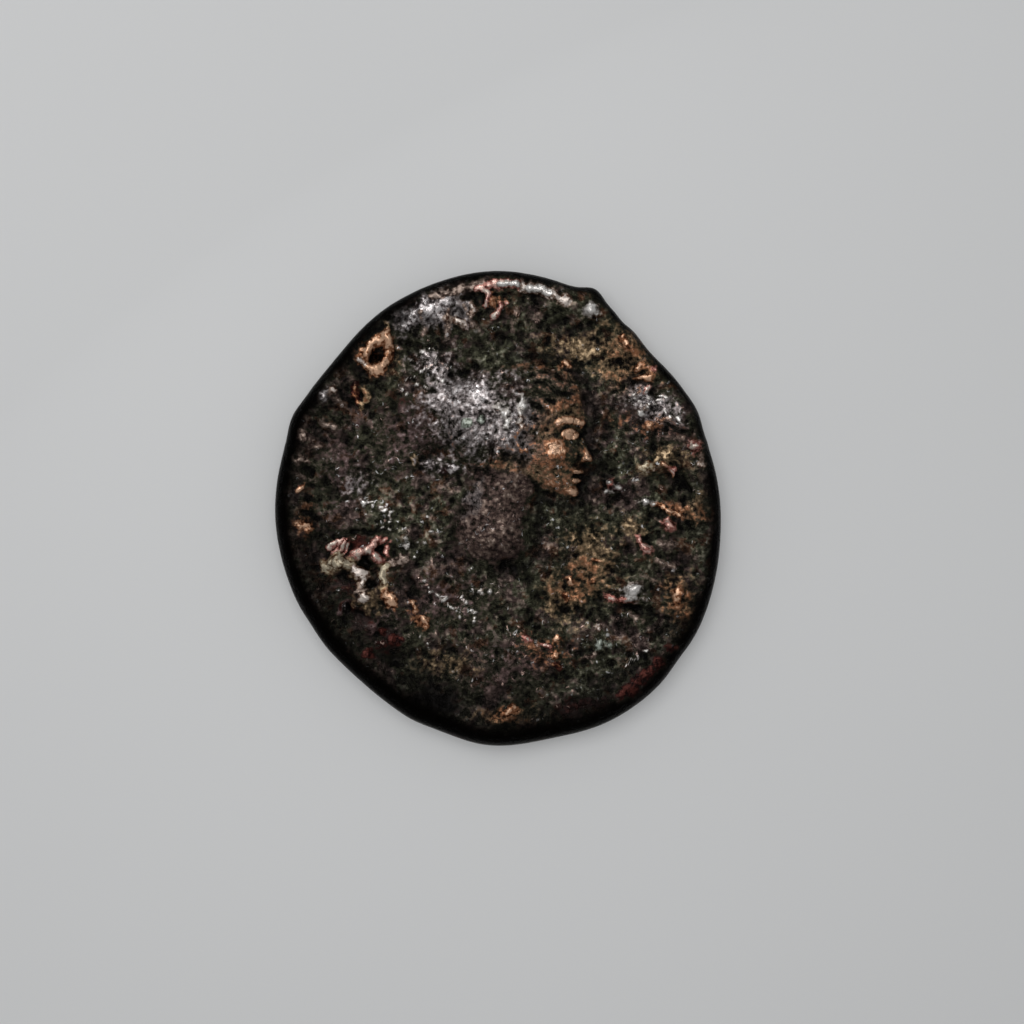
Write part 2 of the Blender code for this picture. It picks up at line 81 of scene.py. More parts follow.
TOP_CELLS, UNDER_CELLS, EDGE_ROWS = 256, 128, 12
# In the flat map: each side's middle and scale, and the two strips of the edge.
TOP_PLACE, TOP_SCALE = (0.33, 0.33), 0.033
UNDER_PLACE, UNDER_SCALE = (0.83, 0.17), 0.0165
STRIP_START, STRIP_LENGTH = (0.01, 0.70), 0.98
STRIP_STEP, STRIP_WIDTH = 0.12, 0.10

# ---- the head's sizes ----
# Places on the head are in head heights: u towards the face and v up, from the middle of the head.

HEAD_CENTRE = (1.20, 3.15)
HEAD_HEIGHT = 5.5
HEAD_TILT = radians(4)
HEAD_RELIEF, NECK_RELIEF = 0.46, 0.42
HEAD_SHOULDER, NECK_SHOULDER, JOIN_SOFTNESS = 0.24, 0.27, 0.05

CHIN, NOSE_BASE, BROW, HAIRLINE, CROWN = -0.50, -0.227, 0.047, 0.32, 0.50  # equal thirds of a face
FACE_FRONT = 0.42
HEAD_OUTLINE = (
    (0.02, CROWN), (0.22, 0.47), (0.36, HAIRLINE + 0.04), (FACE_FRONT, 0.2),
    (FACE_FRONT + 0.01, BROW + 0.03), (FACE_FRONT - 0.02, 0.005), (FACE_FRONT + 0.03, -0.09),
    (FACE_FRONT + 0.08, NOSE_BASE + 0.05), (FACE_FRONT + 0.07, NOSE_BASE + 0.005),
    (FACE_FRONT + 0.015, NOSE_BASE - 0.015), (FACE_FRONT + 0.025, -0.29), (FACE_FRONT + 0.005, -0.318),
    (FACE_FRONT + 0.015, -0.35), (FACE_FRONT - 0.01, -0.39), (FACE_FRONT + 0.005, -0.44),
    (FACE_FRONT - 0.045, CHIN + 0.01), (0.27, CHIN + 0.01), (0.12, -0.43), (-0.02, -0.36), (-0.22, -0.34),
    (-0.43, -0.28), (-0.58, -0.13), (-0.64, 0.07), (-0.57, 0.28), (-0.36, 0.43),
)
NECK_OUTLINE = (
    (0.22, -0.1), (0.16, -0.4), (0.08, -0.54), (0.08, -0.7), (0.1, -0.86), (0, -0.98), (-0.2, -1.04),
    (-0.4, -0.98), (-0.52, -0.82), (-0.51, -0.62), (-0.44, -0.42), (-0.38, -0.1), (-0.08, 0.1),
)
HAIR_OUTLINE = (
    (0.02, CROWN + 0.01), (0.22, 0.48), (0.37, HAIRLINE + 0.03), (0.36, 0.21), (0.2, 0.17), (0.1, 0.05),
    (0.05, -0.04), (-0.06, 0.02), (-0.14, -0.08), (-0.2, -0.29), (-0.43, -0.3), (-0.59, -0.13),
    (-0.65, 0.07), (-0.58, 0.29), (-0.36, 0.44),
)
HAIR_FRONT = ((0.35, 0.24), (0.20, 0.17), (0.10, 0.06), (0.05, -0.03))
NAPE_FRONT = ((-0.15, -0.10), (-0.19, -0.20), (-0.22, -0.29))
CURLS, CURL_SIZE, CURL_HEIGHT = 8, 0.036, 0.100
NAPE_CURLS, CURL_HOLE_SIZE, CURL_HOLE_DEPTH = 4, 0.014, 0.060
WHORL = (-0.30, 0.22)
LOCKS, LOCK_HEIGHT = 26, 0.038
FINE_STRANDS, STRAND_HEIGHT = 84, 0.018
HAIR_RISE, HAIR_SWIRL, HAIR_WAVE = 0.06, 0.9, 0.09
FACE_FORMS = (  # (u, v, half length, half width, turn, height): mounds, and hollows with heights below 0
    (0.310, -0.010, 0.085, 0.045, 0, -0.090),  # eye socket
    (0.314, -0.018, 0.046, 0.026, -6, 0.130),  # eye
    (0.332, -0.016, 0.014, 0.018, 0, -0.070),  # pupil
    (0.220, -0.130, 0.110, 0.080, -30, 0.060),  # cheek
    (0.435, -0.195, 0.032, 0.028, 0, 0.090),  # wing of the nose
    (0.375, -0.430, 0.050, 0.045, 0, 0.080),  # chin
    (0.200, -0.310, 0.110, 0.050, 20, -0.060),  # hollow below the cheek
)
FACE_LINES = (  # (line, width, height)
    (((0.22, 0.066), (0.31, 0.084), (0.41, 0.060)), 0.026, 0.080),  # brow
    (((0.405, 0.020), (0.430, -0.080), (0.465, -0.170)), 0.026, 0.090),  # bridge of the nose
    (((0.258, -0.012), (0.306, 0.014), (0.366, -0.010)), 0.013, 0.060),  # upper eyelid
    (((0.266, -0.036), (0.311, -0.050), (0.358, -0.032)), 0.012, 0.040),  # lower eyelid
    (((0.36, -0.318), (0.40, -0.314), (0.45, -0.318)), 0.014, -0.100),  # mouth
    (((0.37, -0.288), (0.43, -0.286)), 0.018, 0.080),  # upper lip
    (((0.37, -0.350), (0.42, -0.352)), 0.018, 0.080),  # lower lip
    (((0.39, -0.175), (0.360, -0.240)), 0.014, -0.050),  # fold beside the nose
)
EAR = ((-0.005, 0.005), (-0.055, -0.010), (-0.080, -0.060), (-0.065, -0.120), (-0.025, -0.165), (0.0, -0.150))
EAR_WIDTH, EAR_HEIGHT = 0.020, 0.10
JAW = ((-0.03, -0.20), (0.01, -0.33), (0.12, -0.43), (0.24, -0.49))
JAW_WIDTH, JAW_DEPTH = 0.030, 0.07

# ---- strokes and corrosion ----

LEGEND_ARCS = (  # (first bearing, last bearing, radius, strokes): rows of worn strokes, read clockwise
    (188, 154, 7.75, 5),
    (146, 122, 7.75, 4),
    (112, 78, 7.80, 6),
    (40, 22, 7.30, 4),
    (14, -38, 6.90, 9),
)
STROKE_LENGTH, STROKE_WIDTH, STROKE_HEIGHT = 1.0, 0.18, 0.13

CORROSION_SWELLS = (  # (hill size, height, seed)
    (2.6, 0.070, 1),
    (1.2, 0.080, 2),
    (0.7, 0.060, 3),
)
GRAIN = (  # (hill size, height, seed): finer than the solid holds
    (0.80, 0.070, 4),
    (0.45, 0.062, 5),
    (0.27, 0.040, 6),
    (0.17, 0.014, 7),
)
# Below, each mound is (x, y, half length, half width, turn in degrees, height). A hollow's height is below 0.
SWELLINGS = (  # broad lumps and worn dips
    (-2.45, 7.85, 1.1, 0.5, 25, 0.1), (2.4, -6.8, 1.1, 0.6, 15, -0.1), (-3.5, 0.9, 1.6, 1, 30, -0.06),
    (5.7, -6.8, 1.6, 0.4, 42, 0.1), (-5.2, -2.5, 1.3, 1.1, -60, 0.1), (7.3, -3.5, 0.9, 0.6, 70, 0.06),
    (0.6, -8.1, 0.8, 0.35, 0, 0.12), (6.6, 1.8, 0.8, 0.4, 20, 0.08), (-2.4, 5.7, 0.9, 0.5, -50, 0.06),
)
PITS = (
    (-4.92, 6.05, 0.24, 0.19, 65, -0.42), (-5.5, 4.45, 0.1, 0.22, 0, -0.12),
    (-1, 8.42, 0.36, 0.22, 0, -0.16), (-1.5, 7.75, 0.14, 0.16, 0, -0.1),
    (-4.68, -1.62, 0.13, 0.13, 0, -0.16), (-5.25, -2.22, 0.3, 0.2, -15, -0.24),
    (-5.9, -1.6, 0.26, 0.16, 30, -0.14), (-6.16, -2.9, 0.4, 0.26, -30, -0.2),
    (-5.05, -3.05, 0.22, 0.22, 0, -0.18), (-5.98, -4.05, 0.2, 0.2, 0, -0.16),
    (-5.45, -4.3, 0.26, 0.22, 0, -0.14), (-5.6, -0.95, 1.1, 0.16, 8, -0.12),
    (-3.6, -3.1, 0.4, 0.2, -50, -0.1), (5.35, -4.05, 0.5, 0.2, 0, -0.14),
    (6.4, -0.45, 0.6, 0.18, -10, -0.12), (7.4, 0.95, 0.7, 0.26, 0, -0.1), (4.72, 0.3, 0.4, 0.16, 0, -0.1),
    (-6.7, 4.05, 0.3, 0.18, 0, -0.1), (-7.8, 2.42, 0.36, 0.14, 0, -0.12), (7.3, 3.1, 0.9, 0.14, -18, -0.1),
)
LUMPS = {  # by colour
    "copper": (
        (-7.9, 0.85, 0.24, 0.1, 40, 0.09), (-7.62, -0.72, 0.3, 0.22, -20, 0.14),
        (2.7, 5.72, 0.24, 0.17, 20, 0.12), (4.98, 6.72, 0.2, 0.28, 25, 0.14),
        (5.52, 5.64, 0.16, 0.26, -20, 0.14), (5.8, 5.15, 0.38, 0.14, -8, 0.13),
        (3.95, -2.2, 0.2, 0.15, 20, 0.1), (2.82, -2.85, 0.24, 0.13, -20, 0.11),
        (2.8, -3.58, 0.12, 0.26, 10, 0.09), (7.22, -3.5, 0.16, 0.3, -10, 0.12),
        (2.35, -5.95, 0.2, 0.14, 20, 0.11), (2.42, -5.25, 0.16, 0.13, 0, 0.09),
        (0.6, -8.1, 0.4, 0.2, 10, 0.1), (-3.36, -3.9, 0.3, 0.16, -50, 0.18),
        (-2.9, -4.45, 0.34, 0.17, -58, 0.18),
    ),
    "pink": (
        (0, 7.96, 0.28, 0.2, 50, 0.17), (-0.15, 7.75, 0.18, 0.12, 0, 0.09),
        (6.28, 5.58, 0.12, 0.14, 0, 0.1), (5.98, 4.72, 0.22, 0.11, 50, 0.1),
        (7.9, 2.46, 0.32, 0.26, -40, 0.24), (6.95, 1.55, 0.12, 0.24, 60, 0.11),
        (4.55, 1.02, 0.26, 0.13, 40, 0.2), (6.87, -0.62, 0.19, 0.28, 10, 0.15),
        (5.92, -1.58, 0.3, 0.19, -30, 0.16), (5.6, -1.25, 0.12, 0.24, 40, 0.11),
        (5.1, -3.72, 0.32, 0.14, -12, 0.14), (4.6, -3.5, 0.28, 0.14, -25, 0.12),
        (1.22, -5.25, 0.14, 0.12, 0, 0.1), (1.92, -5.65, 0.28, 0.13, -15, 0.12),
        (-4.96, -1.48, 0.17, 0.28, -20, 0.16), (-4.62, -1.26, 0.24, 0.15, 10, 0.14),
        (-4.38, -1.6, 0.15, 0.28, 0, 0.14), (-4.6, -2.02, 0.3, 0.2, -20, 0.16),
    ),
    "gold": (
        (-4.5, 7.25, 0.13, 0.17, 0, 0.09), (-3.36, 1.85, 0.18, 0.26, 10, 0.11),
        (5.18, 6.45, 0.14, 0.14, 0, 0.1), (4.6, 6.2, 0.3, 0.14, -20, 0.09),
        (4.9, 5.05, 0.12, 0.2, -30, 0.09), (6.6, 2.15, 0.5, 0.16, 22, 0.12),
        (3.75, -2.85, 0.18, 0.12, 0, 0.08), (6.85, -3.05, 0.2, 0.14, 0, 0.08),
        (7.5, -4, 0.22, 0.18, 0, 0.08), (0.05, -8.38, 0.3, 0.14, 0, 0.06),
    ),
    "pale": (
        (-5.42, 5.86, 0.16, 0.14, 0, 0.26), (-1.62, 7.42, 0.36, 0.21, -15, 0.15),
        (-0.95, 7.9, 0.18, 0.27, -20, 0.17), (-6.45, 4.66, 0.12, 0.14, 0, 0.08),
        (0.98, 3.4, 0.18, 0.36, 15, 0.12), (8.15, 1.86, 0.17, 0.34, 15, 0.15),
        (5.55, -3.15, 0.22, 0.18, 30, 0.26), (4.08, -4.82, 0.12, 0.12, 0, 0.13),
        (-5.3, -3.55, 0.26, 0.13, 10, 0.11),
    ),
    "tan": (
        (5.9, 1.6, 0.36, 0.25, -20, 0.17),
    ),
    "silver": (
        (-2.75, 7.95, 0.75, 0.34, 25, 0.1), (-1.75, 7.55, 0.5, 0.26, -10, 0.09),
        (-3, 8.2, 0.3, 0.17, 30, 0.12), (-2.65, 7.98, 0.34, 0.16, 20, 0.13),
        (-3.15, 7.72, 0.24, 0.14, 50, 0.09), (-2.15, 8.14, 0.24, 0.12, -20, 0.09),
        (-3.45, 7.45, 0.22, 0.14, 60, 0.08), (-2.2, 7.6, 0.26, 0.14, 10, 0.08),
        (-1.82, 7.75, 0.13, 0.26, 10, 0.12), (-6.8, 4.5, 0.28, 0.18, 25, 0.15),
        (0.62, 3.02, 0.2, 0.16, 0, 0.09), (-2.7, 1.8, 0.26, 0.2, -20, 0.1),
        (-1.72, 1.62, 0.38, 0.2, 5, 0.1), (-6.06, -3.98, 0.07, 0.18, -20, 0.08),
    ),
    "bead": (
        (0.2, 3.8, 0.36, 0.24, -60, 0.13), (0.42, 3.35, 0.22, 0.32, 10, 0.12),
        (0.95, 4.05, 0.19, 0.4, -10, 0.14), (3.76, 7.86, 0.3, 0.26, 0, 0.18),
        (5.95, 0.24, 0.28, 0.17, -15, 0.17), (5.4, -3.35, 0.38, 0.34, 30, 0.24),
    ),
    "green": (
        (-0.58, 3.55, 0.16, 0.28, 10, 0.1), (-1.16, 3.3, 0.22, 0.19, 0, 0.09),
        (4.02, -5.42, 0.13, 0.28, -10, 0.12), (4.35, -5.52, 0.14, 0.16, 0, 0.1),
    ),
    "brown": (
        (-7.78, 2.95, 0.2, 0.24, 0, 0.12), (-7.5, 2.6, 0.1, 0.3, -10, 0.09),
        (-7.85, 1.92, 0.36, 0.16, -10, 0.13), (3.7, -5.9, 0.34, 0.16, 15, 0.13),
    ),
    "red": (
        (-2.2, 1.5, 0.2, 0.16, 0, 0.08), (2.45, -6.42, 0.18, 0.22, 0, 0.1),
        (-5.2, -5.85, 0.34, 0.26, 0, 0.1), (-4.05, -5.3, 0.34, 0.2, -20, 0.08),
        (-4.55, -4.95, 0.26, 0.16, -40, 0.11), (6.95, -5.6, 0.24, 0.16, 50, 0.05),
    ),
    "purple": (
        (4.76, 0.82, 0.36, 0.29, -20, 0.19), (-5.05, -4.79, 0.24, 0.22, 40, 0.13),
    ),
}
RIDGES = {  # by colour: (line, width, height)
    "copper": (
        (((-4.6, 6.86), (-4.95, 6.6), (-5.26, 6.22), (-5.38, 5.86)), 0.27, 0.24),
        (((-5.36, 5.76), (-5.1, 5.5), (-4.8, 5.48), (-4.54, 5.7)), 0.22, 0.24),
        (((-4.46, 5.78), (-4.38, 6.2), (-4.42, 6.6), (-4.6, 6.88)), 0.19, 0.22),
        (((6.55, 1.8), (6.82, 1.62), (7.05, 1.35)), 0.09, 0.11),
        (((6.15, 0.15), (6.7, 0.02), (7.35, -0.2)), 0.1, 0.13),
        (((-4.42, -3.55), (-4.2, -3.9)), 0.21, 0.12),
    ),
    "pink": (
        (((-0.8, 8.72), (-0.5, 8.62), (-0.38, 8.4), (-0.5, 8.15)), 0.1, 0.14),
        # Painted highlight along the top rim's crest.
        (((-0.3, 8.86), (0.35, 8.88), (1, 8.84)), 0.19, 0.12),
        (((-6.78, -1.62), (-6.42, -1.22)), 0.09, 0.1), (((-6.66, -1.8), (-6.22, -1.2)), 0.09, 0.11),
        (((-6.46, -1.88), (-6, -1.28)), 0.09, 0.11), (((-6.24, -1.92), (-5.84, -1.46)), 0.09, 0.1),
        (((-5.75, -1.95), (-5.35, -1.88), (-5, -1.7)), 0.17, 0.12),
    ),
    "gold": (
        (((-5.3, 4.8), (-5.2, 4.4), (-5.4, 4.05)), 0.16, 0.13),
        (((-4.58, -2.9), (-4.45, -3.35), (-4.4, -3.6)), 0.2, 0.13),
    ),
    "pale": (
        # The first two: painted highlight along the top rim's crest.
        (((1.15, 8.8), (1.7, 8.72), (2.2, 8.54)), 0.21, 0.15), (((2.45, 8.44), (2.75, 8.26)), 0.18, 0.13),
        (((-5.62, -2.52), (-5.34, -2.7), (-5.36, -2.95)), 0.2, 0.13),
    ),
    "tan": (
        (((-6.85, -2.35), (-6.45, -2.12), (-6.05, -2.22)), 0.26, 0.15),
        (((-6.35, -2.05), (-5.85, -2.35), (-5.55, -2.62)), 0.32, 0.18),
        (((-4.36, -2.3), (-4.6, -2.6), (-4.58, -2.9)), 0.17, 0.14),
    ),
    "bead": (
        # Painted highlight along the top rim's crest.
        (((0.15, 8.88), (0.9, 8.85)), 0.09, 0.13), (((1.25, 8.79), (1.7, 8.71), (2.1, 8.58)), 0.12, 0.16),
    ),
    "brown": (
        # The first: brown along the top rim's crest, partly a painted highlight.
        (((-2.6, 8.42), (-1.3, 8.76), (-0.3, 8.86)), 0.16, 0.08),
        (((-5.65, -3.35), (-5.2, -3.35)), 0.14, 0.08),
        (((-3.85, -1.95), (-4.15, -2.12), (-4.38, -2.35)), 0.2, 0.12),
    ),
    "red": (
        (((-5.72, 4.95), (-5.65, 4.5), (-5.48, 4.05)), 0.17, 0.12),
        (((6.5, -6.15), (6.07, -6.57), (5.55, -7.05), (4.95, -7.45)), 0.24, 0.06),
    ),
    "purple": (
        (((-6.25, -4.2), (-6.2, -3.85), (-5.85, -3.75), (-5.7, -4.05)), 0.1, 0.11),
    ),
}
BEAD_ROWS = (  # (line, beads): rows of small beads, whose bright colour is partly a painted glint
    (((-2.9, -2.95), (-2.75, -3.3), (-2, -3.62), (-1.7, -4.1)), 9),
    (((-1.5, -3.72), (-1.2, -3.84), (-0.88, -4.62)), 5), (((-1.85, -3.95), (-1.45, -4.3), (-1.1, -4.6)), 4),
    (((-1.15, -3.25), (-0.8, -3.3), (-0.45, -3.26)), 5), (((-2.95, -5.25), (-2.45, -5.3)), 3),
    (((-5.35, 0.1), (-5.05, 0.35), (-4.75, 0.1)), 4),
    (((-4.45, 0), (-4.12, -0.35), (-4.25, -0.75), (-4.6, -0.85)), 8),
    (((-3.75, -0.95), (-3.8, -1.35), (-3.45, -1.75)), 5),
    (((-2.8, -0.45), (-2.6, -0.95), (-2.95, -1.35)), 3), (((4.3, 1), (4.75, 0.95), (5.05, 0.75)), 5),
    (((4.45, 0.75), (4.8, 0.6)), 3), (((5.35, 4.2), (5.8, 4.1), (6.1, 4.5)), 5),
    (((6, 4.6), (6.35, 4.3), (6.7, 4.42)), 5), (((5.6, 3.8), (6.1, 3.95), (6.4, 4.05)), 5),
    (((5.5, 4.45), (5.6, 4)), 4), (((6.45, 3.6), (6.75, 3.75), (7.05, 3.75), (7.5, 3.4)), 6),
    (((5.2, -6.3), (5.55, -5.95), (5.9, -5.8)), 5), (((-3.25, 6.1), (-2.6, 6.25), (-2.3, 5.9)), 6),
    (((-3.9, 5.05), (-3.35, 5.3), (-2.35, 5.75)), 7), (((-3.85, 4.75), (-3.3, 4.72), (-2.1, 5.1)), 6),
)
BEAD_SIZE, BEAD_STRAY = 0.072, 0.12
KNOB_HEIGHT = 0.036  # of the small bumps on the lumps and ridges

# ---- the underside's sizes ----

REVERSE_RECESS = 0.16
REVERSE_RIM_RISE, REVERSE_RIM_START, REVERSE_RIM_SLOPE = REVERSE_RECESS + 0.05, 0.80, 0.08
WREATH_RADIUS, WREATH_LEAVES, ROWS_APART = 5.9, 24, 0.84
LEAF_SIZES, LEAF_SPLAY, LEAF_HEIGHT = (0.66, 0.25), 24, 0.13
STAR_RAYS, STAR_REACH, RAY_WIDTH, RAY_HEIGHT = 8, 2.9, 0.28, 0.13
BOSS_SIZE, BOSS_HEIGHT = 0.75, 0.18
REVERSE_SWELLS = ((1.7, 0.035, 11), (0.8, 0.020, 12))  # (hill size, height, seed)
REVERSE_DENTS = (
    (3.6, 5, 1.1, 0.7, 30, -0.07), (-4.4, -3.2, 1.3, 0.8, -40, -0.08), (-6.9, 3.6, 0.8, 0.5, 60, -0.12),
    (5.9, -5.3, 0.9, 0.6, -50, -0.12),
)

# ---- what colours the patina, and where shade is painted on it ----

HEAD_TINTS = {  # share of the back hair, the front hair, the face and the neck, and more where they are worn
    "silver": (0.30, 0.08, 0.00, 0.06, 0.00),
    "gold": (0.00, 0.26, 0.62, 0.00, 0.20),
    "copper": (0.00, 0.12, 0.30, 0.00, 0.90),
    "brown": (0.00, 0.32, 0.34, 0.36, 0.00),
    "purple": (0.12, 0.00, 0.00, 0.56, 0.00),
    "red": (0.00, 0.00, 0.00, 0.34, 0.00),
}
COLOUR_PATCHES = {  # mounds whose height is the colour's strength
    "copper": (
        (-4.95, 6.15, 0.8, 0.7, 50, 0.72), (6, 3.3, 1.4, 0.3, -8, 0.44), (-5.5, 4.5, 0.4, 0.6, 0, 0.34),
        (-0.25, 8.3, 0.6, 0.4, 0, 0.5), (5.3, 5.8, 1.3, 1, -50, 0.44), (7.4, -0.1, 0.9, 0.4, -10, 0.48),
        (3.6, -2.5, 0.9, 1, 10, 0.42), (2.9, -3.4, 0.7, 0.6, 10, 0.48), (2, -5.7, 1.1, 0.6, -10, 0.46),
        (7.25, -3.55, 0.6, 0.8, 0, 0.48), (-3.1, -4.2, 0.6, 0.4, -55, 0.5), (-7.6, -0.6, 0.5, 0.6, 0, 0.48),
        (0.5, -8.15, 0.9, 0.3, 0, 0.48),
    ),
    "gold": (
        (-4.3, 6.2, 0.45, 0.8, 0, 0.66), (-4.9, -3.6, 0.9, 0.6, -20, 0.56), (5, 6, 1.6, 1.2, -50, 0.72),
        (3.4, 6.4, 1.6, 0.8, 0, 0.62), (3.75, -2.1, 1, 1.4, 10, 0.82), (2.75, -3.6, 1, 0.9, 10, 0.74),
        (7.3, -3.55, 0.7, 1.3, 0, 0.64), (6.7, 1.9, 1.3, 0.6, 10, 0.58), (7.8, 0, 0.6, 0.6, 0, 0.66),
        (5.3, -0.8, 0.7, 0.6, 0, 0.58), (0.4, -8.2, 1.4, 0.35, 0, 0.62), (2.6, 1.1, 0.9, 0.4, 20, 0.56),
        (-2.2, -6.2, 1.5, 0.6, 0, 0.48),
    ),
    "red": (
        (3.3, -7.9, 1.3, 0.3, 14, 0.7), (-4.7, -5.5, 1, 0.6, -30, 0.5), (-5.6, -4.1, 0.9, 0.8, -30, 0.48),
        (-3.95, 4.35, 0.6, 0.4, 0, 0.5), (-5.6, -1.6, 1.3, 0.6, 0, 0.66), (-5.8, -3.1, 1.1, 0.7, -20, 0.56),
        (-5.4, 4.4, 0.5, 0.7, 0, 0.6),
    ),
    "purple": (
        (-3.2, 2.9, 2.4, 1.7, 30, 0.5), (-6.2, 1.6, 1.3, 2.4, 0, 0.4), (6.5, 3.2, 1.6, 0.8, -20, 0.56),
        (0.2, -6.3, 3, 1.5, 10, 0.4), (-2.2, -3.6, 2.2, 1.2, 0, 0.4), (1, 1.9, 1.6, 0.7, 0, 0.54),
        (-4.6, -4.6, 1.2, 1, 0, 0.46),
    ),
    "silver": (
        (-0.8, 4.5, 1, 0.8, -30, 0.88), (-1.9, 4.4, 1.2, 1.1, 0, 0.72), (-0.8, 3.3, 1.6, 1.3, 0, 0.78),
        (0.75, 3.4, 0.9, 1.1, 0, 1), (0.9, 2.4, 1.3, 0.8, -20, 0.54), (-0.9, 0.4, 0.26, 1.1, -15, 0.64),
        (-2.8, 7.85, 1.3, 0.6, 25, 1.3), (-1.6, 7.6, 0.7, 0.45, 20, 1.05), (-2.5, 5.6, 1.2, 0.9, -50, 0.6),
        (-5.6, 1, 0.9, 0.5, 20, 0.4), (-2.2, 1.7, 1.1, 0.5, 0, 0.46), (5.4, -3.4, 0.6, 0.4, 0, 0.5),
        (6.1, 4.1, 1.3, 0.65, -30, 0.8),
    ),
    # Glossier patina, with more painted glints.
    "glint": (
        (-2.45, 5.8, 1, 0.65, -50, 1), (-3.7, 4.8, 0.9, 0.35, -10, 0.9), (-2, 4.4, 0.8, 0.8, 0, 0.6),
        (-0.75, 4.7, 0.8, 0.6, -30, 0.7), (0.7, 3.5, 1, 0.8, -30, 0.8), (6.1, 4.2, 0.9, 0.5, -30, 1.2),
        (6.6, 3.55, 0.9, 0.4, -20, 1), (-2.7, 7.95, 1.1, 0.5, 25, 1.2), (-2.6, -3.4, 0.6, 0.22, -25, 1.2),
        (-1.35, -4.1, 0.8, 0.25, -55, 1.1), (-0.7, -3.3, 0.6, 0.2, 5, 1.1), (-5.2, 0.2, 0.6, 0.5, 0, 0.8),
        (-4.5, -0.5, 0.6, 0.5, 0, 1), (-3.7, -1.1, 0.5, 0.5, 0, 0.9), (-4.6, 1.3, 0.8, 0.5, 30, 0.9),
        (-3, 2.4, 0.8, 0.5, 30, 0.7), (5, -6, 1.2, 0.35, 30, 1), (6, -4.8, 0.9, 0.4, 20, 0.8),
        (3.9, -5.5, 1.2, 0.8, 0, 0.7), (-5.8, -1.8, 1.2, 0.6, 0, 0.7), (1.2, 8.75, 1.8, 0.3, -8, 1.1),
        (0.8, -5.5, 1.6, 0.8, 0, 0.6), (-3.5, -5.4, 1, 0.6, 0, 0.6), (4.9, 1.8, 1.4, 1, 0, 0.5),
    ),
}
SHADE_PATCHES = (  # mounds of painted shade, whose height is how dark they are
    (-5.2, -4.4, 1.2, 0.9, -30, 0.7), (-3.1, -6.5, 1.2, 1, -40, 0.9), (8.35, -0.3, 0.5, 2.4, -3, 0.8),
    (0, -8.55, 3.4, 0.6, 0, 1.1), (5.2, -6.6, 1, 0.6, 44, 0.6), (1.8, -2, 2, 0.8, 0, 0.6),
    (2.3, 0, 0.7, 1, 0, 0.5), (-4.6, -5.7, 2.2, 1.2, -40, 0.6), (-2.8, -7.8, 3.2, 1.4, -18, 1.25),
    (1.5, -7.4, 2.6, 0.6, 5, 0.6), (-8, 0.2, 0.9, 4.5, 0, 0.55), (-7.2, 4.2, 1.8, 0.9, 62, 0.5),
    (8.1, -1.5, 0.7, 3.2, -8, 0.5), (3.6, -7.9, 2.6, 0.5, 20, 0.6), (-5.9, -0.8, 1.3, 0.4, 8, 0.7),
    (3.9, 1, 0.7, 0.5, 0, 0.5),
)
NEAR_PASSES, WIDE_PASSES = 12, 160  # of blurring, to see what stands out from its surroundings
NEAR_BUMP, WIDE_BUMP = 0.045, 0.15  # the heights that count as 1
EDGE_BLACK, EDGE_BLACK_SWING, BLACKEST_AT = 0.52, 0.28, 240  # width of the black band of painted shade on the edge, and where it is widest
SHADED, SHADED_SWING = 1.15, 1.00  # width of the painted shade inside the black band

# Each colour is red, green, blue and 1.
DEPTH_OF_COLOUR = 0.81  # how much of each colour below stays once it is mixed with black
BLACK = (0.0016, 0.0012, 0.0010, 1)
DARK_GREEN = (0.065, 0.065, 0.039, 1)
DARK_PURPLE = (0.090, 0.060, 0.053, 1)
DARK_RED = (0.102, 0.050, 0.028, 1)
GREY_GREEN = (0.350, 0.345, 0.255, 1)
WARM_GREY = (0.430, 0.322, 0.262, 1)
# The colours of the painted glints.
WHITE_GLINT = (0.86, 0.84, 0.84, 1)
PINK_GLINT = (0.90, 0.62, 0.52, 1)
CREAM = (0.820, 0.720, 0.620, 1)
# On the lumps and ridges the bright colour is partly worn metal and partly a painted highlight, and the low
# colour round them partly painted shade.
TINTS = (  # (mask, low, middle and high places' colours, metallic), from the lowest layer up
    ("purple", (0.016, 0.008, 0.007, 1), (0.095, 0.06, 0.056, 1), (0.26, 0.185, 0.178, 1), 0.7),
    ("red", (0.008, 0.001, 0.001, 1), (0.032, 0.007, 0.005, 1), (0.085, 0.022, 0.016, 1), 0.6),
    ("gold", (0.02, 0.012, 0.005, 1), (0.21, 0.143, 0.08, 1), (0.82, 0.59, 0.36, 1), 0.6),
    ("silver", (0.036, 0.029, 0.028, 1), (0.27, 0.232, 0.226, 1), (0.86, 0.795, 0.785, 1), 0.85),
    ("brown", (0.024, 0.014, 0.011, 1), (0.16, 0.112, 0.09, 1), (0.48, 0.37, 0.31, 1), 0.7),
    ("green", (0.03, 0.032, 0.024, 1), (0.18, 0.2, 0.16, 1), (0.52, 0.56, 0.49, 1), 0.6),
    ("copper", (0.06, 0.018, 0.008, 1), (0.38, 0.165, 0.082, 1), (0.99, 0.62, 0.41, 1), 0.85),
    ("pink", (0.11, 0.028, 0.02, 1), (0.46, 0.19, 0.155, 1), (0.97, 0.6, 0.51, 1), 0.85),
    ("tan", (0.06, 0.024, 0.01, 1), (0.2, 0.14, 0.085, 1), (0.56, 0.48, 0.35, 1), 0.7),
    ("pale", (0.07, 0.034, 0.022, 1), (0.36, 0.26, 0.205, 1), (0.95, 0.83, 0.75, 1), 0.78),
    # Beads and the whitest lumps: their near-white is partly a painted glint.
    ("bead", (0.05, 0.04, 0.034, 1), (0.38, 0.345, 0.315, 1), (0.95, 0.91, 0.87, 1), 0.8),
)
GROUND_METALLIC = 0.7
# Levels between which each colour turns into the next.
BLACK_TO_GROUND, GROUND_TO_GREY = (0.56, 1.18), (0.98, 1.46)
LOW_TO_MIDDLE, MIDDLE_TO_BRIGHT = (1.22, 1.72), (1.72, 2.22)
GRAINS_PER_MM = 5.0

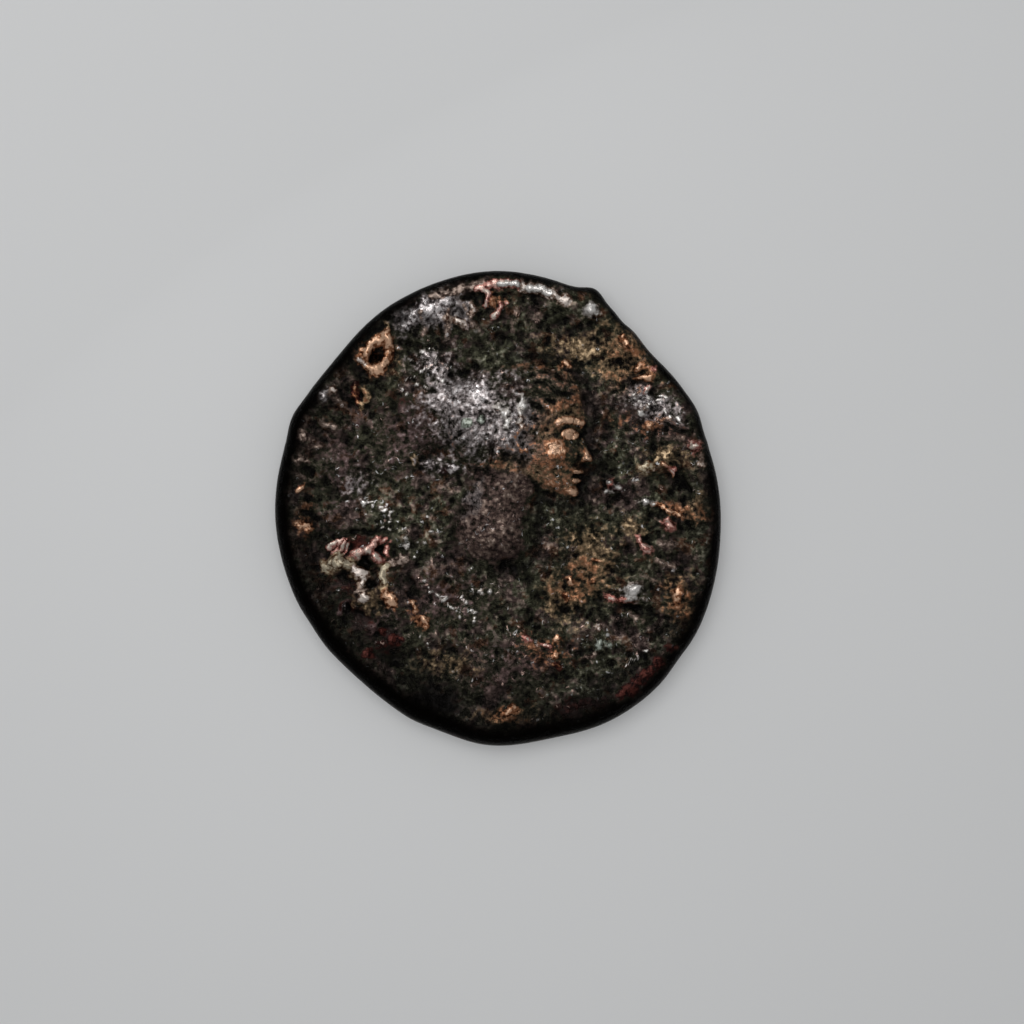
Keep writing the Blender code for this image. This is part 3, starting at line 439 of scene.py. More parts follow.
# ---- shapes of relief ----


def smoothstep(t):
    t = np.clip(t, 0, 1)
    return t * t * (3 - 2 * t)


def smooth_max(a, b, softness):
    """The higher of two surfaces, blended where they meet."""
    return 0.5 * (a + b + np.sqrt((a - b) ** 2 + softness**2) - softness)


def mound(x, y, centre, sizes, turn=0):
    """A round-topped mound of height 1, with its half length and half width, turned by degrees."""
    c, s = cos(radians(turn)), sin(radians(turn))
    dx, dy = x - centre[0], y - centre[1]
    along, across = (dx * c + dy * s) / sizes[0], (dy * c - dx * s) / sizes[1]
    return np.exp(-(along**2 + across**2))


def mounds(x, y, rows):
    """The heights of a table's mounds, one after the other."""
    for middle_x, middle_y, long, wide, turn, height in rows:
        yield height * mound(x, y, (middle_x, middle_y), (long, wide), turn)


def line_distance(x, y, points):
    """The distance to an open line through the points."""
    best = np.full(np.shape(x), 1e9)
    for (x0, y0), (x1, y1) in zip(points[:-1], points[1:]):
        dx, dy = x1 - x0, y1 - y0
        t = np.clip(((x - x0) * dx + (y - y0) * dy) / (dx * dx + dy * dy), 0, 1)
        best = np.minimum(best, np.hypot(x - x0 - t * dx, y - y0 - t * dy))
    return best


def ridge(x, y, points, width):
    """A rounded ridge of height 1 along a line."""
    return np.exp(-((line_distance(x, y, points) / width) ** 2))


def curved_ridge(x, y, points, width):
    """A rounded ridge of height 1 along a smooth curve."""
    return ridge(x, y, smooth_curve(points, closed=False), width)


def smooth_curve(points, closed=True, steps=6):
    """A smooth curve through the points."""
    points = np.array(points, float)
    if not closed:
        points = np.vstack([points[:1], points, points[-1:]])
    before, after, later = (np.roll(points, shift, axis=0) for shift in (1, -1, -2))
    curve = []
    for t in np.arange(steps) / steps:
        linear = (after - before) * t
        square = (2 * before - 5 * points + 4 * after - later) * t**2
        cube = (3 * points - before - 3 * after + later) * t**3
        curve.append(0.5 * (2 * points + linear + square + cube))
    curve = np.stack(curve, axis=1)
    return curve.reshape(-1, 2) if closed else np.vstack([curve[1:-2].reshape(-1, 2), points[-1:]])


def depth_inside(x, y, outline):
    """How far inside a closed smooth outline each place is, and below 0 outside it."""
    loop = smooth_curve(outline)
    inside = np.zeros(np.shape(x), bool)
    for (x0, y0), (x1, y1) in zip(loop, np.roll(loop, -1, axis=0)):
        crosses = (y0 > y) != (y1 > y)
        inside ^= crosses & (x < x0 + (y - y0) * (x1 - x0) / (y1 - y0 + 1e-12))
    away = line_distance(x, y, np.vstack([loop, loop[:1]]))
    return np.where(inside, away, -away)


def dome(depth, width):
    """Rises from 0 at an outline to 1 at width inside it."""
    return 1 - (1 - np.clip(depth / width, 0, 1)) ** 2


def wobble(x, y, cell, seed):
    """Smooth noise from -1 to 1, whose hills are about a cell across."""
    values = np.random.default_rng(seed).uniform(-1, 1, (64, 64))
    c, s = cos(0.7 * seed), sin(0.7 * seed)
    u, v = (x * c + y * s) / cell + 31.5, (y * c - x * s) / cell + 31.5
    i, j = np.floor(u).astype(int), np.floor(v).astype(int)
    fu, fv = smoothstep(u - i), smoothstep(v - j)
    i, j, i_next, j_next = i % 64, j % 64, (i + 1) % 64, (j + 1) % 64
    low = values[i, j] * (1 - fu) + values[i_next, j] * fu
    high = values[i, j_next] * (1 - fu) + values[i_next, j_next] * fu
    return low * (1 - fv) + high * fv


def from_polar(radius, bearing):
    return radius * np.cos(bearing), radius * np.sin(bearing)


# ---- the flan ----


def slow_radius(bearing):
    """The flan's radius without its dents and corners. Bearings are radians anticlockwise from +X."""
    radius = np.full(np.shape(bearing), MEAN_RADIUS)
    for count, size, crest in LOBES:
        radius = radius + size * np.cos(count * (bearing - radians(crest)))
    return radius


def outline_radius(bearing):
    """The flan's radius at each bearing."""
    radius = slow_radius(bearing)
    for at, half_width, amount in EDGE_MARKS:
        away = (np.degrees(bearing) - at + 180) % 360 - 180
        radius = radius + amount * np.exp(-((away / half_width) ** 2))
    return radius


def outline_centre():
    """The centre of the outline's bounding box, which becomes the origin."""
    bearing = np.linspace(-pi, pi, 720, endpoint=False)
    x, y = from_polar(outline_radius(bearing), bearing)
    return (x.min() + x.max()) / 2, (y.min() + y.max()) / 2


def swinging(bearing, width, swing, widest_at):
    """A width that changes round the edge, and is widest at a bearing in degrees."""
    return width + swing * np.cos(bearing - radians(widest_at))


def top_radius(bearing):
    """Where the upper side meets the edge."""
    return outline_radius(bearing) - swinging(bearing, TOP_ROUNDING, TOP_ROUNDING_SWING, WIDEST_AT)


def under_radius(bearing):
    """Where the underside meets the edge."""
    return outline_radius(bearing) - BOTTOM_ROUNDING


def nearness_to_edge(x, y):
    """0 in the middle and 1 on the flan's slow outline."""
    return np.hypot(x, y) / slow_radius(np.arctan2(y, x))


# ---- the head ----


def head_places(x, y):
    """(u, v) of places on the coin, in head heights."""
    dx, dy = (x - HEAD_CENTRE[0]) / HEAD_HEIGHT, (y - HEAD_CENTRE[1]) / HEAD_HEIGHT
    c, s = cos(HEAD_TILT), sin(HEAD_TILT)
    return dx * c - dy * s, dx * s + dy * c


def points_along(line, count):
    """Evenly spaced points along an open line."""
    line = np.array(line, float)
    run = np.concatenate([[0], np.cumsum(np.hypot(*np.diff(line, axis=0).T))])
    at = np.linspace(0, run[-1], count)
    return np.stack([np.interp(at, run, line[:, k]) for k in (0, 1)], axis=1)


def hair_relief(u, v):
    """Strands combed out from the whorl, ending in a row of curls round the face and at the nape."""
    du, dv = u - WHORL[0], v - WHORL[1]
    reach = np.hypot(du, dv)
    sweep = np.arctan2(dv, du) + HAIR_SWIRL * reach + HAIR_WAVE * wobble(u, v, 0.14, 51)
    strands = LOCK_HEIGHT * np.cos(LOCKS * sweep)
    strands = strands + STRAND_HEIGHT * np.cos(FINE_STRANDS * (sweep + 0.3 * reach))
    strands = strands * (0.65 + 0.35 * smoothstep((u + 0.1) / 0.3))
    combed = strands * smoothstep((reach - 0.08) / 0.36)
    relief = smoothstep(depth_inside(u, v, HAIR_OUTLINE) / 0.04) * (HAIR_RISE + combed)
    for at in (*points_along(HAIR_FRONT, CURLS), *points_along(NAPE_FRONT, NAPE_CURLS)):
        relief = relief + CURL_HEIGHT * mound(u, v, at, (CURL_SIZE, CURL_SIZE))
        relief = relief - CURL_HOLE_DEPTH * mound(u, v, at, (CURL_HOLE_SIZE, CURL_HOLE_SIZE))
    return relief


def face_relief(u, v, lowest=-1):
    """The sum of the face's mounds, hollows and lines that are higher than the lowest asked for."""
    relief = sum(mounds(u, v, [form for form in FACE_FORMS if form[-1] > lowest]))
    for line, width, height in FACE_LINES:
        if height > lowest:
            relief = relief + height * curved_ridge(u, v, line, width)
    return relief


def bust_depths(u, v):
    """How far inside the head's outline and the neck's."""
    return depth_inside(u, v, HEAD_OUTLINE), depth_inside(u, v, NECK_OUTLINE)


def bust_form(x, y):
    """The rounded form of the head and the cut-off neck, without what is on it."""
    head, neck = bust_depths(*head_places(x, y))
    head, neck = HEAD_RELIEF * dome(head, HEAD_SHOULDER), NECK_RELIEF * dome(neck, NECK_SHOULDER)
    return smooth_max(head, neck, JOIN_SOFTNESS)


def bust_detail(x, y):
    """Face, jaw, ear and hair."""
    u, v = head_places(x, y)
    head, neck = bust_depths(u, v)
    detail = face_relief(u, v) * smoothstep(head / 0.03) + hair_relief(u, v)
    detail = detail - JAW_DEPTH * curved_ridge(u, v, JAW, JAW_WIDTH) * smoothstep(neck / 0.05)
    return detail + EAR_HEIGHT * curved_ridge(u, v, EAR, EAR_WIDTH)


# ---- what surrounds the head ----


def legend_relief(x, y):
    """Rows of short strokes round the edge. They lean this way and that, and carry no signs."""
    relief = np.zeros(np.shape(x))
    count = 0
    for first, last, row_radius, strokes in LEGEND_ARCS:
        for bearing in np.linspace(first, last, strokes):
            count += 1
            angle = radians(bearing)
            lean = angle + radians((count * 37) % 50 - 25)
            radius = row_radius + 0.22 * sin(2.1 * count)
            half = STROKE_LENGTH / 2 * (0.75 + 0.25 * cos(1.7 * count))
            middle = np.array([cos(angle), sin(angle)]) * radius
            reach = np.array([cos(lean), sin(lean)]) * half
            height = STROKE_HEIGHT * (0.75 + 0.25 * sin(5.3 * count))
            relief = np.maximum(relief, height * ridge(x, y, (middle - reach, middle + reach), STROKE_WIDTH))
    return relief


def bent(x, y, amount=1.0):
    """Places moved a little this way and that, so that round shapes come out uneven."""
    x_bent = x + amount * (0.11 * wobble(x, y, 0.55, 31) + 0.08 * wobble(x, y, 0.24, 32))
    y_bent = y + amount * (0.11 * wobble(x, y, 0.55, 33) + 0.08 * wobble(x, y, 0.24, 34))
    return x_bent, y_bent


def beads():
    """The beads of all the rows, as mounds that stray a little from their lines."""
    chance = np.random.default_rng(71)
    made = []
    for line, count in BEAD_ROWS:
        for at in points_along(line, count):
            x, y = at + chance.uniform(-BEAD_STRAY, BEAD_STRAY, 2)
            size = BEAD_SIZE * chance.uniform(0.7, 1.4)
            made.append((x, y, size, 0.8 * size, 0, 0.7 * size))
    return tuple(made)


LUMPS["bead"] += beads()


def all_rows(table):
    """The rows of every colour."""
    return [row for rows in table.values() for row in rows]


def corrosion_relief(x, y, roughness):
    """Roughness is 1 on the field and less on the head, which the corrosion has left smoother."""
    relief = np.zeros(np.shape(x))
    for hill, height, seed in CORROSION_SWELLS:
        relief = relief + height * wobble(x, y, hill, seed) * roughness
    relief = sum(mounds(x, y, SWELLINGS), relief)
    for hill, height, seed in GRAIN:
        strength = 0.9 + 0.5 * wobble(x, y, 2.2 * hill, seed + 60)
        crests = 0.30 - np.sqrt(wobble(x, y, hill, seed) ** 2 + 0.01)
        relief = relief + height * strength * crests * roughness
    uneven = 0.88 + 0.42 * wobble(x, y, 0.36, 35)
    x, y = bent(x, y)
    relief = sum(mounds(x, y, PITS), relief)
    raised = reduce(np.maximum, mounds(x, y, all_rows(LUMPS)))
    for line, width, height in all_rows(RIDGES):
        raised = np.maximum(raised, height * curved_ridge(x, y, line, width * uneven))
    knobs = wobble(x, y, 0.24, 36) + 0.6 * wobble(x, y, 0.14, 37)
    return relief + raised * uneven + KNOB_HEIGHT * knobs * smoothstep(raised / 0.09)


def obverse_height(x, y):
    """The height above the table of the upper side."""
    rim = RIM_RISE * smoothstep((nearness_to_edge(x, y) - RIM_START) / RIM_SLOPE)
    bust = bust_form(x, y)
    struck = smooth_max(bust + bust_detail(x, y), legend_relief(x, y), 0.02)
    return FIELD_LEVEL + rim + struck + corrosion_relief(x, y, 1 - 0.5 * smoothstep(bust / 0.25))


# ---- the underside ----


def wreath_relief(x, y):
    """Two rows of leaves, climbing both sides from the bottom to the top."""
    leaves = []
    for k in range(WREATH_LEAVES):
        angle = 2 * pi * (k + 0.5) / WREATH_LEAVES - pi / 2
        climb = 1 if cos(angle) > 0 else -1
        for row in (-0.5, 0.5):
            radius = WREATH_RADIUS + row * ROWS_APART
            turn = degrees(angle) + 90 - 2 * row * climb * LEAF_SPLAY
            leaves.append((radius * cos(angle), radius * sin(angle), *LEAF_SIZES, turn, LEAF_HEIGHT))
    return reduce(np.maximum, mounds(x, y, leaves))


def star_relief(x, y):
    half = STAR_REACH / 2
    parts = [(0, 0, BOSS_SIZE, BOSS_SIZE, 0, BOSS_HEIGHT)]
    for k in range(STAR_RAYS):
        angle = 2 * pi * k / STAR_RAYS
        middle = (half * cos(angle), half * sin(angle))
        parts.append((*middle, half, RAY_WIDTH, degrees(angle), RAY_HEIGHT))
    return reduce(np.maximum, mounds(x, y, parts))


def reverse_height(x, y):
    """The height above the table of the underside. It is worn flat wherever it touches the table."""
    relief = np.maximum(wreath_relief(x, y), star_relief(x, y))
    for hill, height, seed in REVERSE_SWELLS:
        relief = relief + height * wobble(x, y, hill, seed)
    for hill, height, seed in GRAIN:
        relief = relief + 0.5 * height * wobble(x, y, hill, seed + 20)
    relief = sum(mounds(x, y, REVERSE_DENTS), relief)
    rim = REVERSE_RIM_RISE * smoothstep((nearness_to_edge(x, y) - REVERSE_RIM_START) / REVERSE_RIM_SLOPE)
    return np.clip(REVERSE_RECESS - relief - rim, 0, None)


# ---- the mesh ----


def disc_grid(cells):
    """(rho, bearing) of the points of a square grid bent into a disc of radius 1."""
    steps = np.linspace(-1, 1, cells + 1)
    a, b = np.meshgrid(steps, steps, indexing="ij")
    wide = np.abs(a) >= np.abs(b)
    rho = np.where(wide, a, b)
    across = np.where(wide, b, a) / np.where(rho == 0, 1, rho)
    angle = np.where(wide, pi / 4 * across, pi / 2 - pi / 4 * across)
    x, y = from_polar(rho, angle)
    return np.hypot(x, y), np.arctan2(y, x)


def grid_index(cells, i, j):
    return i * (cells + 1) + j


def grid_border(cells):
    """Indices of a grid's border points, anticlockwise."""
    side = np.arange(cells)
    none, full = 0 * side, 0 * side + cells
    sides = ((side, none), (full, side), (cells - side, full), (none, cells - side))
    return np.concatenate([grid_index(cells, i, j) for i, j in sides])


def grid_faces(cells, first, facing_up):
    i, j = np.meshgrid(np.arange(cells), np.arange(cells), indexing="ij")
    corners = ((i, j), (i + 1, j), (i + 1, j + 1), (i, j + 1))
    faces = np.stack([first + grid_index(cells, a, b).ravel() for a, b in corners], axis=1)
    return faces if facing_up else faces[:, ::-1]


def side_points(cells, border_radius, height):
    """The points of one side: a disc grid stretched to its border."""
    rho, bearing = disc_grid(cells)
    x, y = from_polar(rho * border_radius(bearing), bearing)
    return np.stack([x, y, height(x, y)], axis=-1)


def edge_rows(top):
    """Rows of points round the edge, from the border of the top to the border of the underside."""
    bearing = np.arctan2(top[:, 1], top[:, 0])
    x, y = from_polar(under_radius(bearing), bearing)
    under = np.stack([x, y, reverse_height(x, y)], axis=1)
    outer = outline_radius(bearing)
    middle = (top[:, 2] + under[:, 2]) / 2
    rows = []
    for k in range(1, EDGE_ROWS):
        angle = pi * k / EDGE_ROWS
        near = top if cos(angle) > 0 else under
        inner = np.hypot(near[:, 0], near[:, 1])
        radius = inner + (outer - inner) * sin(angle) ** EDGE_SHAPE
        z = middle + (near[:, 2] - middle) * abs(cos(angle)) ** EDGE_SHAPE
        rows.append(np.stack([*from_polar(radius, bearing), z], axis=1))
    return rows


def edge_faces(first_row, first_under):
    """(faces between the edge's rows, faces that join the last row to the underside's coarser border)"""
    border, under = grid_border(TOP_CELLS), first_under + grid_border(UNDER_CELLS)
    rows = [first_row + k * len(border) + np.arange(len(border)) for k in range(EDGE_ROWS - 1)]
    faces = []
    for upper, lower in zip([border, *rows[:-1]], rows):
        faces.append(np.stack([upper, lower, np.roll(lower, -1), np.roll(upper, -1)], axis=1))
    even, odd = rows[-1][0::2], rows[-1][1::2]
    joins = np.stack([even, under, np.roll(under, -1), np.roll(even, -1), odd], axis=1)
    return np.concatenate(faces), joins


def strip_places(first, columns, rows, count):
    """Places in the map for corners of the edge's faces. Each half of the way round has its own strip."""
    second_half = first >= count // 2
    u = STRIP_START[0] + STRIP_LENGTH * (columns - second_half * count / 2) / (count / 2)
    v = STRIP_START[1] + STRIP_STEP * second_half + STRIP_WIDTH * (1 - rows / EDGE_ROWS)
    return np.stack(np.broadcast_arrays(u, v), axis=-1).reshape(-1, 2)


def add_map(mesh, points, discs, first_under, count):
    """Lays the surface out flat: both sides as discs, and the edge as two strips."""
    x, y = points[discs, 0], points[discs, 1]
    under = discs >= first_under
    u = np.where(under, UNDER_PLACE[0] - UNDER_SCALE * x, TOP_PLACE[0] + TOP_SCALE * x)
    v = np.where(under, UNDER_PLACE[1] + UNDER_SCALE * y, TOP_PLACE[1] + TOP_SCALE * y)
    row, column = (part.reshape(-1, 1) for part in np.divmod(np.arange((EDGE_ROWS - 1) * count), count))
    edge = strip_places(column, column + np.array([0, 0, 1, 1]), row + np.array([0, 1, 1, 0]), count)
    column = 2 * np.arange(count // 2).reshape(-1, 1)
    rows = EDGE_ROWS - np.array([1, 0, 0, 1, 1])
    joins = strip_places(column, column + np.array([0, 0, 2, 2, 1]), rows, count)
    places = np.concatenate([np.stack([u, v], axis=-1).reshape(-1, 2), edge, joins])
    mesh.uv_layers.new(name="OFBake").data.foreach_set("uv", places.astype(np.float32).ravel())


def coin_mesh():
    """The whole coin as one closed mesh, in metres, with the masks that its material reads."""
    top = side_points(TOP_CELLS, top_radius, obverse_height)
    under = side_points(UNDER_CELLS, under_radius, reverse_height)
    top_points, under_points = top.reshape(-1, 3), under.reshape(-1, 3)
    border = top_points[grid_border(TOP_CELLS)]
    points = np.concatenate([top_points, *edge_rows(border), under_points])
    first_row, first_under = len(top_points), len(points) - len(under_points)
    discs = np.concatenate([grid_faces(TOP_CELLS, 0, True), grid_faces(UNDER_CELLS, first_under, False)])
    edge, joins = edge_faces(first_row, first_under)

    high = np.zeros(len(points))
    high[:first_row] = stands_out(top[..., 2] - left_out(top[..., 0], top[..., 1]))
    high[first_under:] = -stands_out(under[..., 2])
    underside = np.zeros(len(points))
    underside[first_under:] = 1
    hidden = underside.copy()
    way_down = np.arange(1, EDGE_ROWS) / EDGE_ROWS
    hidden[first_row:first_under] = np.repeat(smoothstep((way_down - 0.25) / 0.2), len(border))

    x, y = points[:, 0].copy(), points[:, 1].copy()
    points[:, :2] -= outline_centre()
    mesh = bpy.data.meshes.new("coin_finished")
    mesh.from_pydata((points * MM).tolist(), [], discs.tolist() + edge.tolist() + joins.tolist())
    mesh.update()
    mesh.shade_smooth()
    add_map(mesh, points, discs, first_under, len(border))
    add_mask(mesh, "high", high)
    add_masks(mesh, x, y, underside, hidden)
    return mesh


# ---- the masks that the material reads ----


def blurred(grid, passes):
    """A height grid, smoothed by averaging each point with its neighbours."""
    for _ in range(passes):
        wide = np.pad(grid, 1, mode="edge")
        grid = (wide[:-2, 1:-1] + wide[2:, 1:-1] + wide[1:-1, :-2] + wide[1:-1, 2:] + grid) / 5
    return grid


def stands_out(grid):
    """About -1 in hollows and 1 on bumps, both small and broad."""
    near, wide = grid - blurred(grid, NEAR_PASSES), grid - blurred(grid, WIDE_PASSES)
    return np.clip(near / NEAR_BUMP + wide / WIDE_BUMP, -2, 2).ravel()


def left_out(x, y):
    """The share of the bust that doesn't count as standing out: all of it at the back, and half in front."""
    u, v = head_places(x, y)
    return bust_form(x, y) * (1 - 0.5 * smoothstep((u - 0.6 * v + 0.1) / 0.4))


def head_mask(x, y, colour):
    """The colours that the hair, the face and the neck take as a whole."""
    u, v = head_places(x, y)
    back_share, front_share, face_share, neck_share, worn_share = HEAD_TINTS[colour]
    worn = worn_share * smoothstep((face_relief(u, v, 0) - 0.02) / 0.05)
    uneven = 0.85 + 0.45 * wobble(u, v, 0.20, 63)
    u, v = u + 0.02 * wobble(u, v, 0.09, 61), v + 0.02 * wobble(u, v, 0.09, 62)
    head, neck = bust_depths(u, v)
    head, neck = smoothstep(head / 0.05), smoothstep(neck / 0.10)
    hair = smoothstep(depth_inside(u, v, HAIR_OUTLINE) / 0.10)
    hair_share = back_share + (front_share - back_share) * smoothstep((u + 0.15) / 0.25)
    bare = head * (1 - hair)
    return hair_share * hair + (face_share * uneven + worn) * bare + neck_share * neck * (1 - head)


def head_shadow(x, y):
    """1 in the groove in front of the face and the neck: a painted shadow beside the bust."""
    u, v = head_places(x, y)
    depth = HEAD_HEIGHT * np.maximum(*bust_depths(u, v))
    return np.exp(-(((depth + 0.22) / 0.26) ** 2)) * smoothstep((u + 0.45) / 0.5)


def feature_mask(x, y, colour):
    """Where the lumps and ridges of a colour are."""
    x, y = bent(x, y)
    lumps = [(*lump[:-1], 1) for lump in LUMPS.get(colour, ())]
    mask = reduce(np.maximum, mounds(x, y, lumps), np.zeros(np.shape(x)))
    for line, width, _ in RIDGES.get(colour, ()):
        mask = np.maximum(mask, 1.25 * curved_ridge(x, y, line, width))
    return mask


def colour_mask(x, y, colour):
    """Where a colour shows: on the lumps and ridges that have it, and in its wider patches."""
    mask = feature_mask(x, y, colour)
    if colour in HEAD_TINTS:
        mask = np.maximum(mask, head_mask(x, y, colour))
    mask = reduce(np.maximum, mounds(*bent(x, y, 2.0), COLOUR_PATCHES.get(colour, ())), mask)
    if colour == "brown":
        mask = np.maximum(mask, 0.5 * legend_relief(x, y) / STROKE_HEIGHT)
    return mask


def worn_mask(x, y):
    """1 on the lumps and ridges, which wear has left smoother and brighter."""
    return smoothstep(reduce(np.maximum, (feature_mask(x, y, tint[0]) for tint in TINTS)) / 0.7)


def reverse_wear(x, y):
    """1 on the underside's wreath and star, which wear has left brighter."""
    return smoothstep((np.maximum(wreath_relief(x, y), star_relief(x, y)) - 0.03) / 0.07)


def painted_edge_shade(x, y, worn):
    """1 on the coin's edge, which is painted black as shade, and 0 on its face."""
    bearing = np.arctan2(y, x)
    band = swinging(bearing, EDGE_BLACK, EDGE_BLACK_SWING, BLACKEST_AT)
    inwards = outline_radius(bearing) - np.hypot(x, y)
    inwards = inwards + 0.10 * wobble(x, y, 0.9, 41) + 0.08 * wobble(x, y, 0.35, 42)
    return (1 - smoothstep((inwards - 0.6 * band) / (0.8 * band))) * (1 - worn)


def shade_mask(x, y, worn):
    """Painted shade in patches, in front of the head and inside the edge, widest at the lower left."""
    bearing = np.arctan2(y, x)
    band = swinging(bearing, SHADED, SHADED_SWING, BLACKEST_AT)
    inwards = outline_radius(bearing) - np.hypot(x, y) + 0.5 * wobble(x, y, 1.1, 43)
    shade = 1 - smoothstep((inwards - 0.3 * band) / (1.2 * band))
    shade = np.maximum(shade, head_shadow(x, y))
    shade = reduce(np.maximum, mounds(*bent(x, y, 3.0), SHADE_PATCHES), shade)
    return shade * (1 - 0.8 * worn)


def add_mask(mesh, name, values):
    layer = mesh.attributes.new(name, "FLOAT", "POINT")
    layer.data.foreach_set("value", values.astype(np.float32))


def add_masks(mesh, x, y, underside, hidden):
    """The masks of wear, painted shade and colour. Hidden is 1 where the coin isn't seen from above, where the
    painted shade is left out or halved.
    """
    reverse = reverse_wear(x, y) * underside
    worn = worn_mask(x, y) * (1 - underside) + 0.6 * reverse
    add_mask(mesh, "worn", worn)
    add_mask(mesh, "edge", painted_edge_shade(x, y, worn) * (1 - hidden))
    add_mask(mesh, "shade", shade_mask(x, y, worn) * (1 - 0.5 * hidden))
    for colour in (*(tint[0] for tint in TINTS), "glint"):
        mask = colour_mask(x, y, colour) * (1 - underside)
        if colour == "brown":
            mask = mask + 0.75 * reverse
        add_mask(mesh, colour, mask)


# ---- materials ----


class Value:
    """What a node gives out: a number, or a colour. Reckoning with numbers adds more nodes."""

    def __init__(self, nodes, socket):
        self.nodes, self.socket = nodes, socket

    def __add__(self, other):
        return self.nodes.math("ADD", self, other)

    def __sub__(self, other):
        return self.nodes.math("SUBTRACT", self, other)

    def __rsub__(self, other):
        return self.nodes.math("SUBTRACT", other, self)

    def __mul__(self, other):
        return self.nodes.math("MULTIPLY", self, other)

    def __abs__(self):
        return self.nodes.math("ABSOLUTE", self)

    def or_more(self, other):
        """The higher of the two."""
        return self.nodes.math("MAXIMUM", self, other)

    def between(self, low, high, out_low=0.0, out_high=1.0):
        """Maps low..high smoothly to out_low..out_high."""
        inputs = {"Value": self, "From Min": low, "From Max": high, "To Min": out_low, "To Max": out_high}
        return self.nodes.add("MapRange", inputs, "Result", interpolation_type="SMOOTHSTEP")


class Nodes:
    """Short ways to add the nodes of one material."""

    def __init__(self, name):
        self.material = bpy.data.materials.new(name)
        self.material.use_nodes = True
        self.tree = self.material.node_tree
        self.shader = self.tree.nodes["Principled BSDF"]
        place = self.add("TexCoord", {}, "Object")
        self.place = self.add("VectorMath", {0: place, "Scale": 1 / MM}, operation="SCALE")

    def add(self, kind, inputs, output=0, **settings):
        """Adds a node, with a number, a colour or another node's value for each input. Gives its output."""
        node = self.tree.nodes.new("ShaderNode" + kind)
        for name, value in settings.items():
            setattr(node, name, value)
        for name, value in inputs.items():
            self.link(value, node.inputs[name])
        return Value(self, node.outputs[output])

    def link(self, value, socket):
        if isinstance(value, Value):
            self.tree.links.new(value.socket, socket)
        else:
            socket.default_value = value

    def math(self, operation, a, b=0.0):
        return self.add("Math", {0: a, 1: b}, operation=operation)

    def mask(self, name):
        return self.add("Attribute", {}, "Fac", attribute_name=name)

    def noise(self, hills_per_mm, detail=3.0, roughness=0.55, distortion=0.0):
        inputs = {"Vector": self.place, "Scale": hills_per_mm, "Detail": detail, "Roughness": roughness}
        inputs["Distortion"] = distortion
        return self.add("TexNoise", inputs, "Fac")

    def grains(self, grains_per_mm):
        """(how far from a grain's middle, a random number for each grain, another one)"""
        gap = self.add("TexVoronoi", {"Vector": self.place, "Scale": grains_per_mm}, "Distance")
        colour = Value(self, gap.socket.node.outputs["Color"])
        return gap, self.add("SeparateColor", {0: colour}, 0), self.add("SeparateColor", {0: colour}, 2)

    def mix_colour(self, factor, a, b):
        return self.add("Mix", {0: factor, 6: a, 7: b}, 2, data_type="RGBA")

    def mix_number(self, factor, a, b):
        return self.add("Mix", {0: factor, 2: a, 3: b}, data_type="FLOAT")

    def bump(self, height, distance_mm, strength, below=None):
        inputs = {"Distance": distance_mm * MM, "Strength": strength, "Height": height}
        if below:
            inputs["Normal"] = below
        return self.add("Bump", inputs)


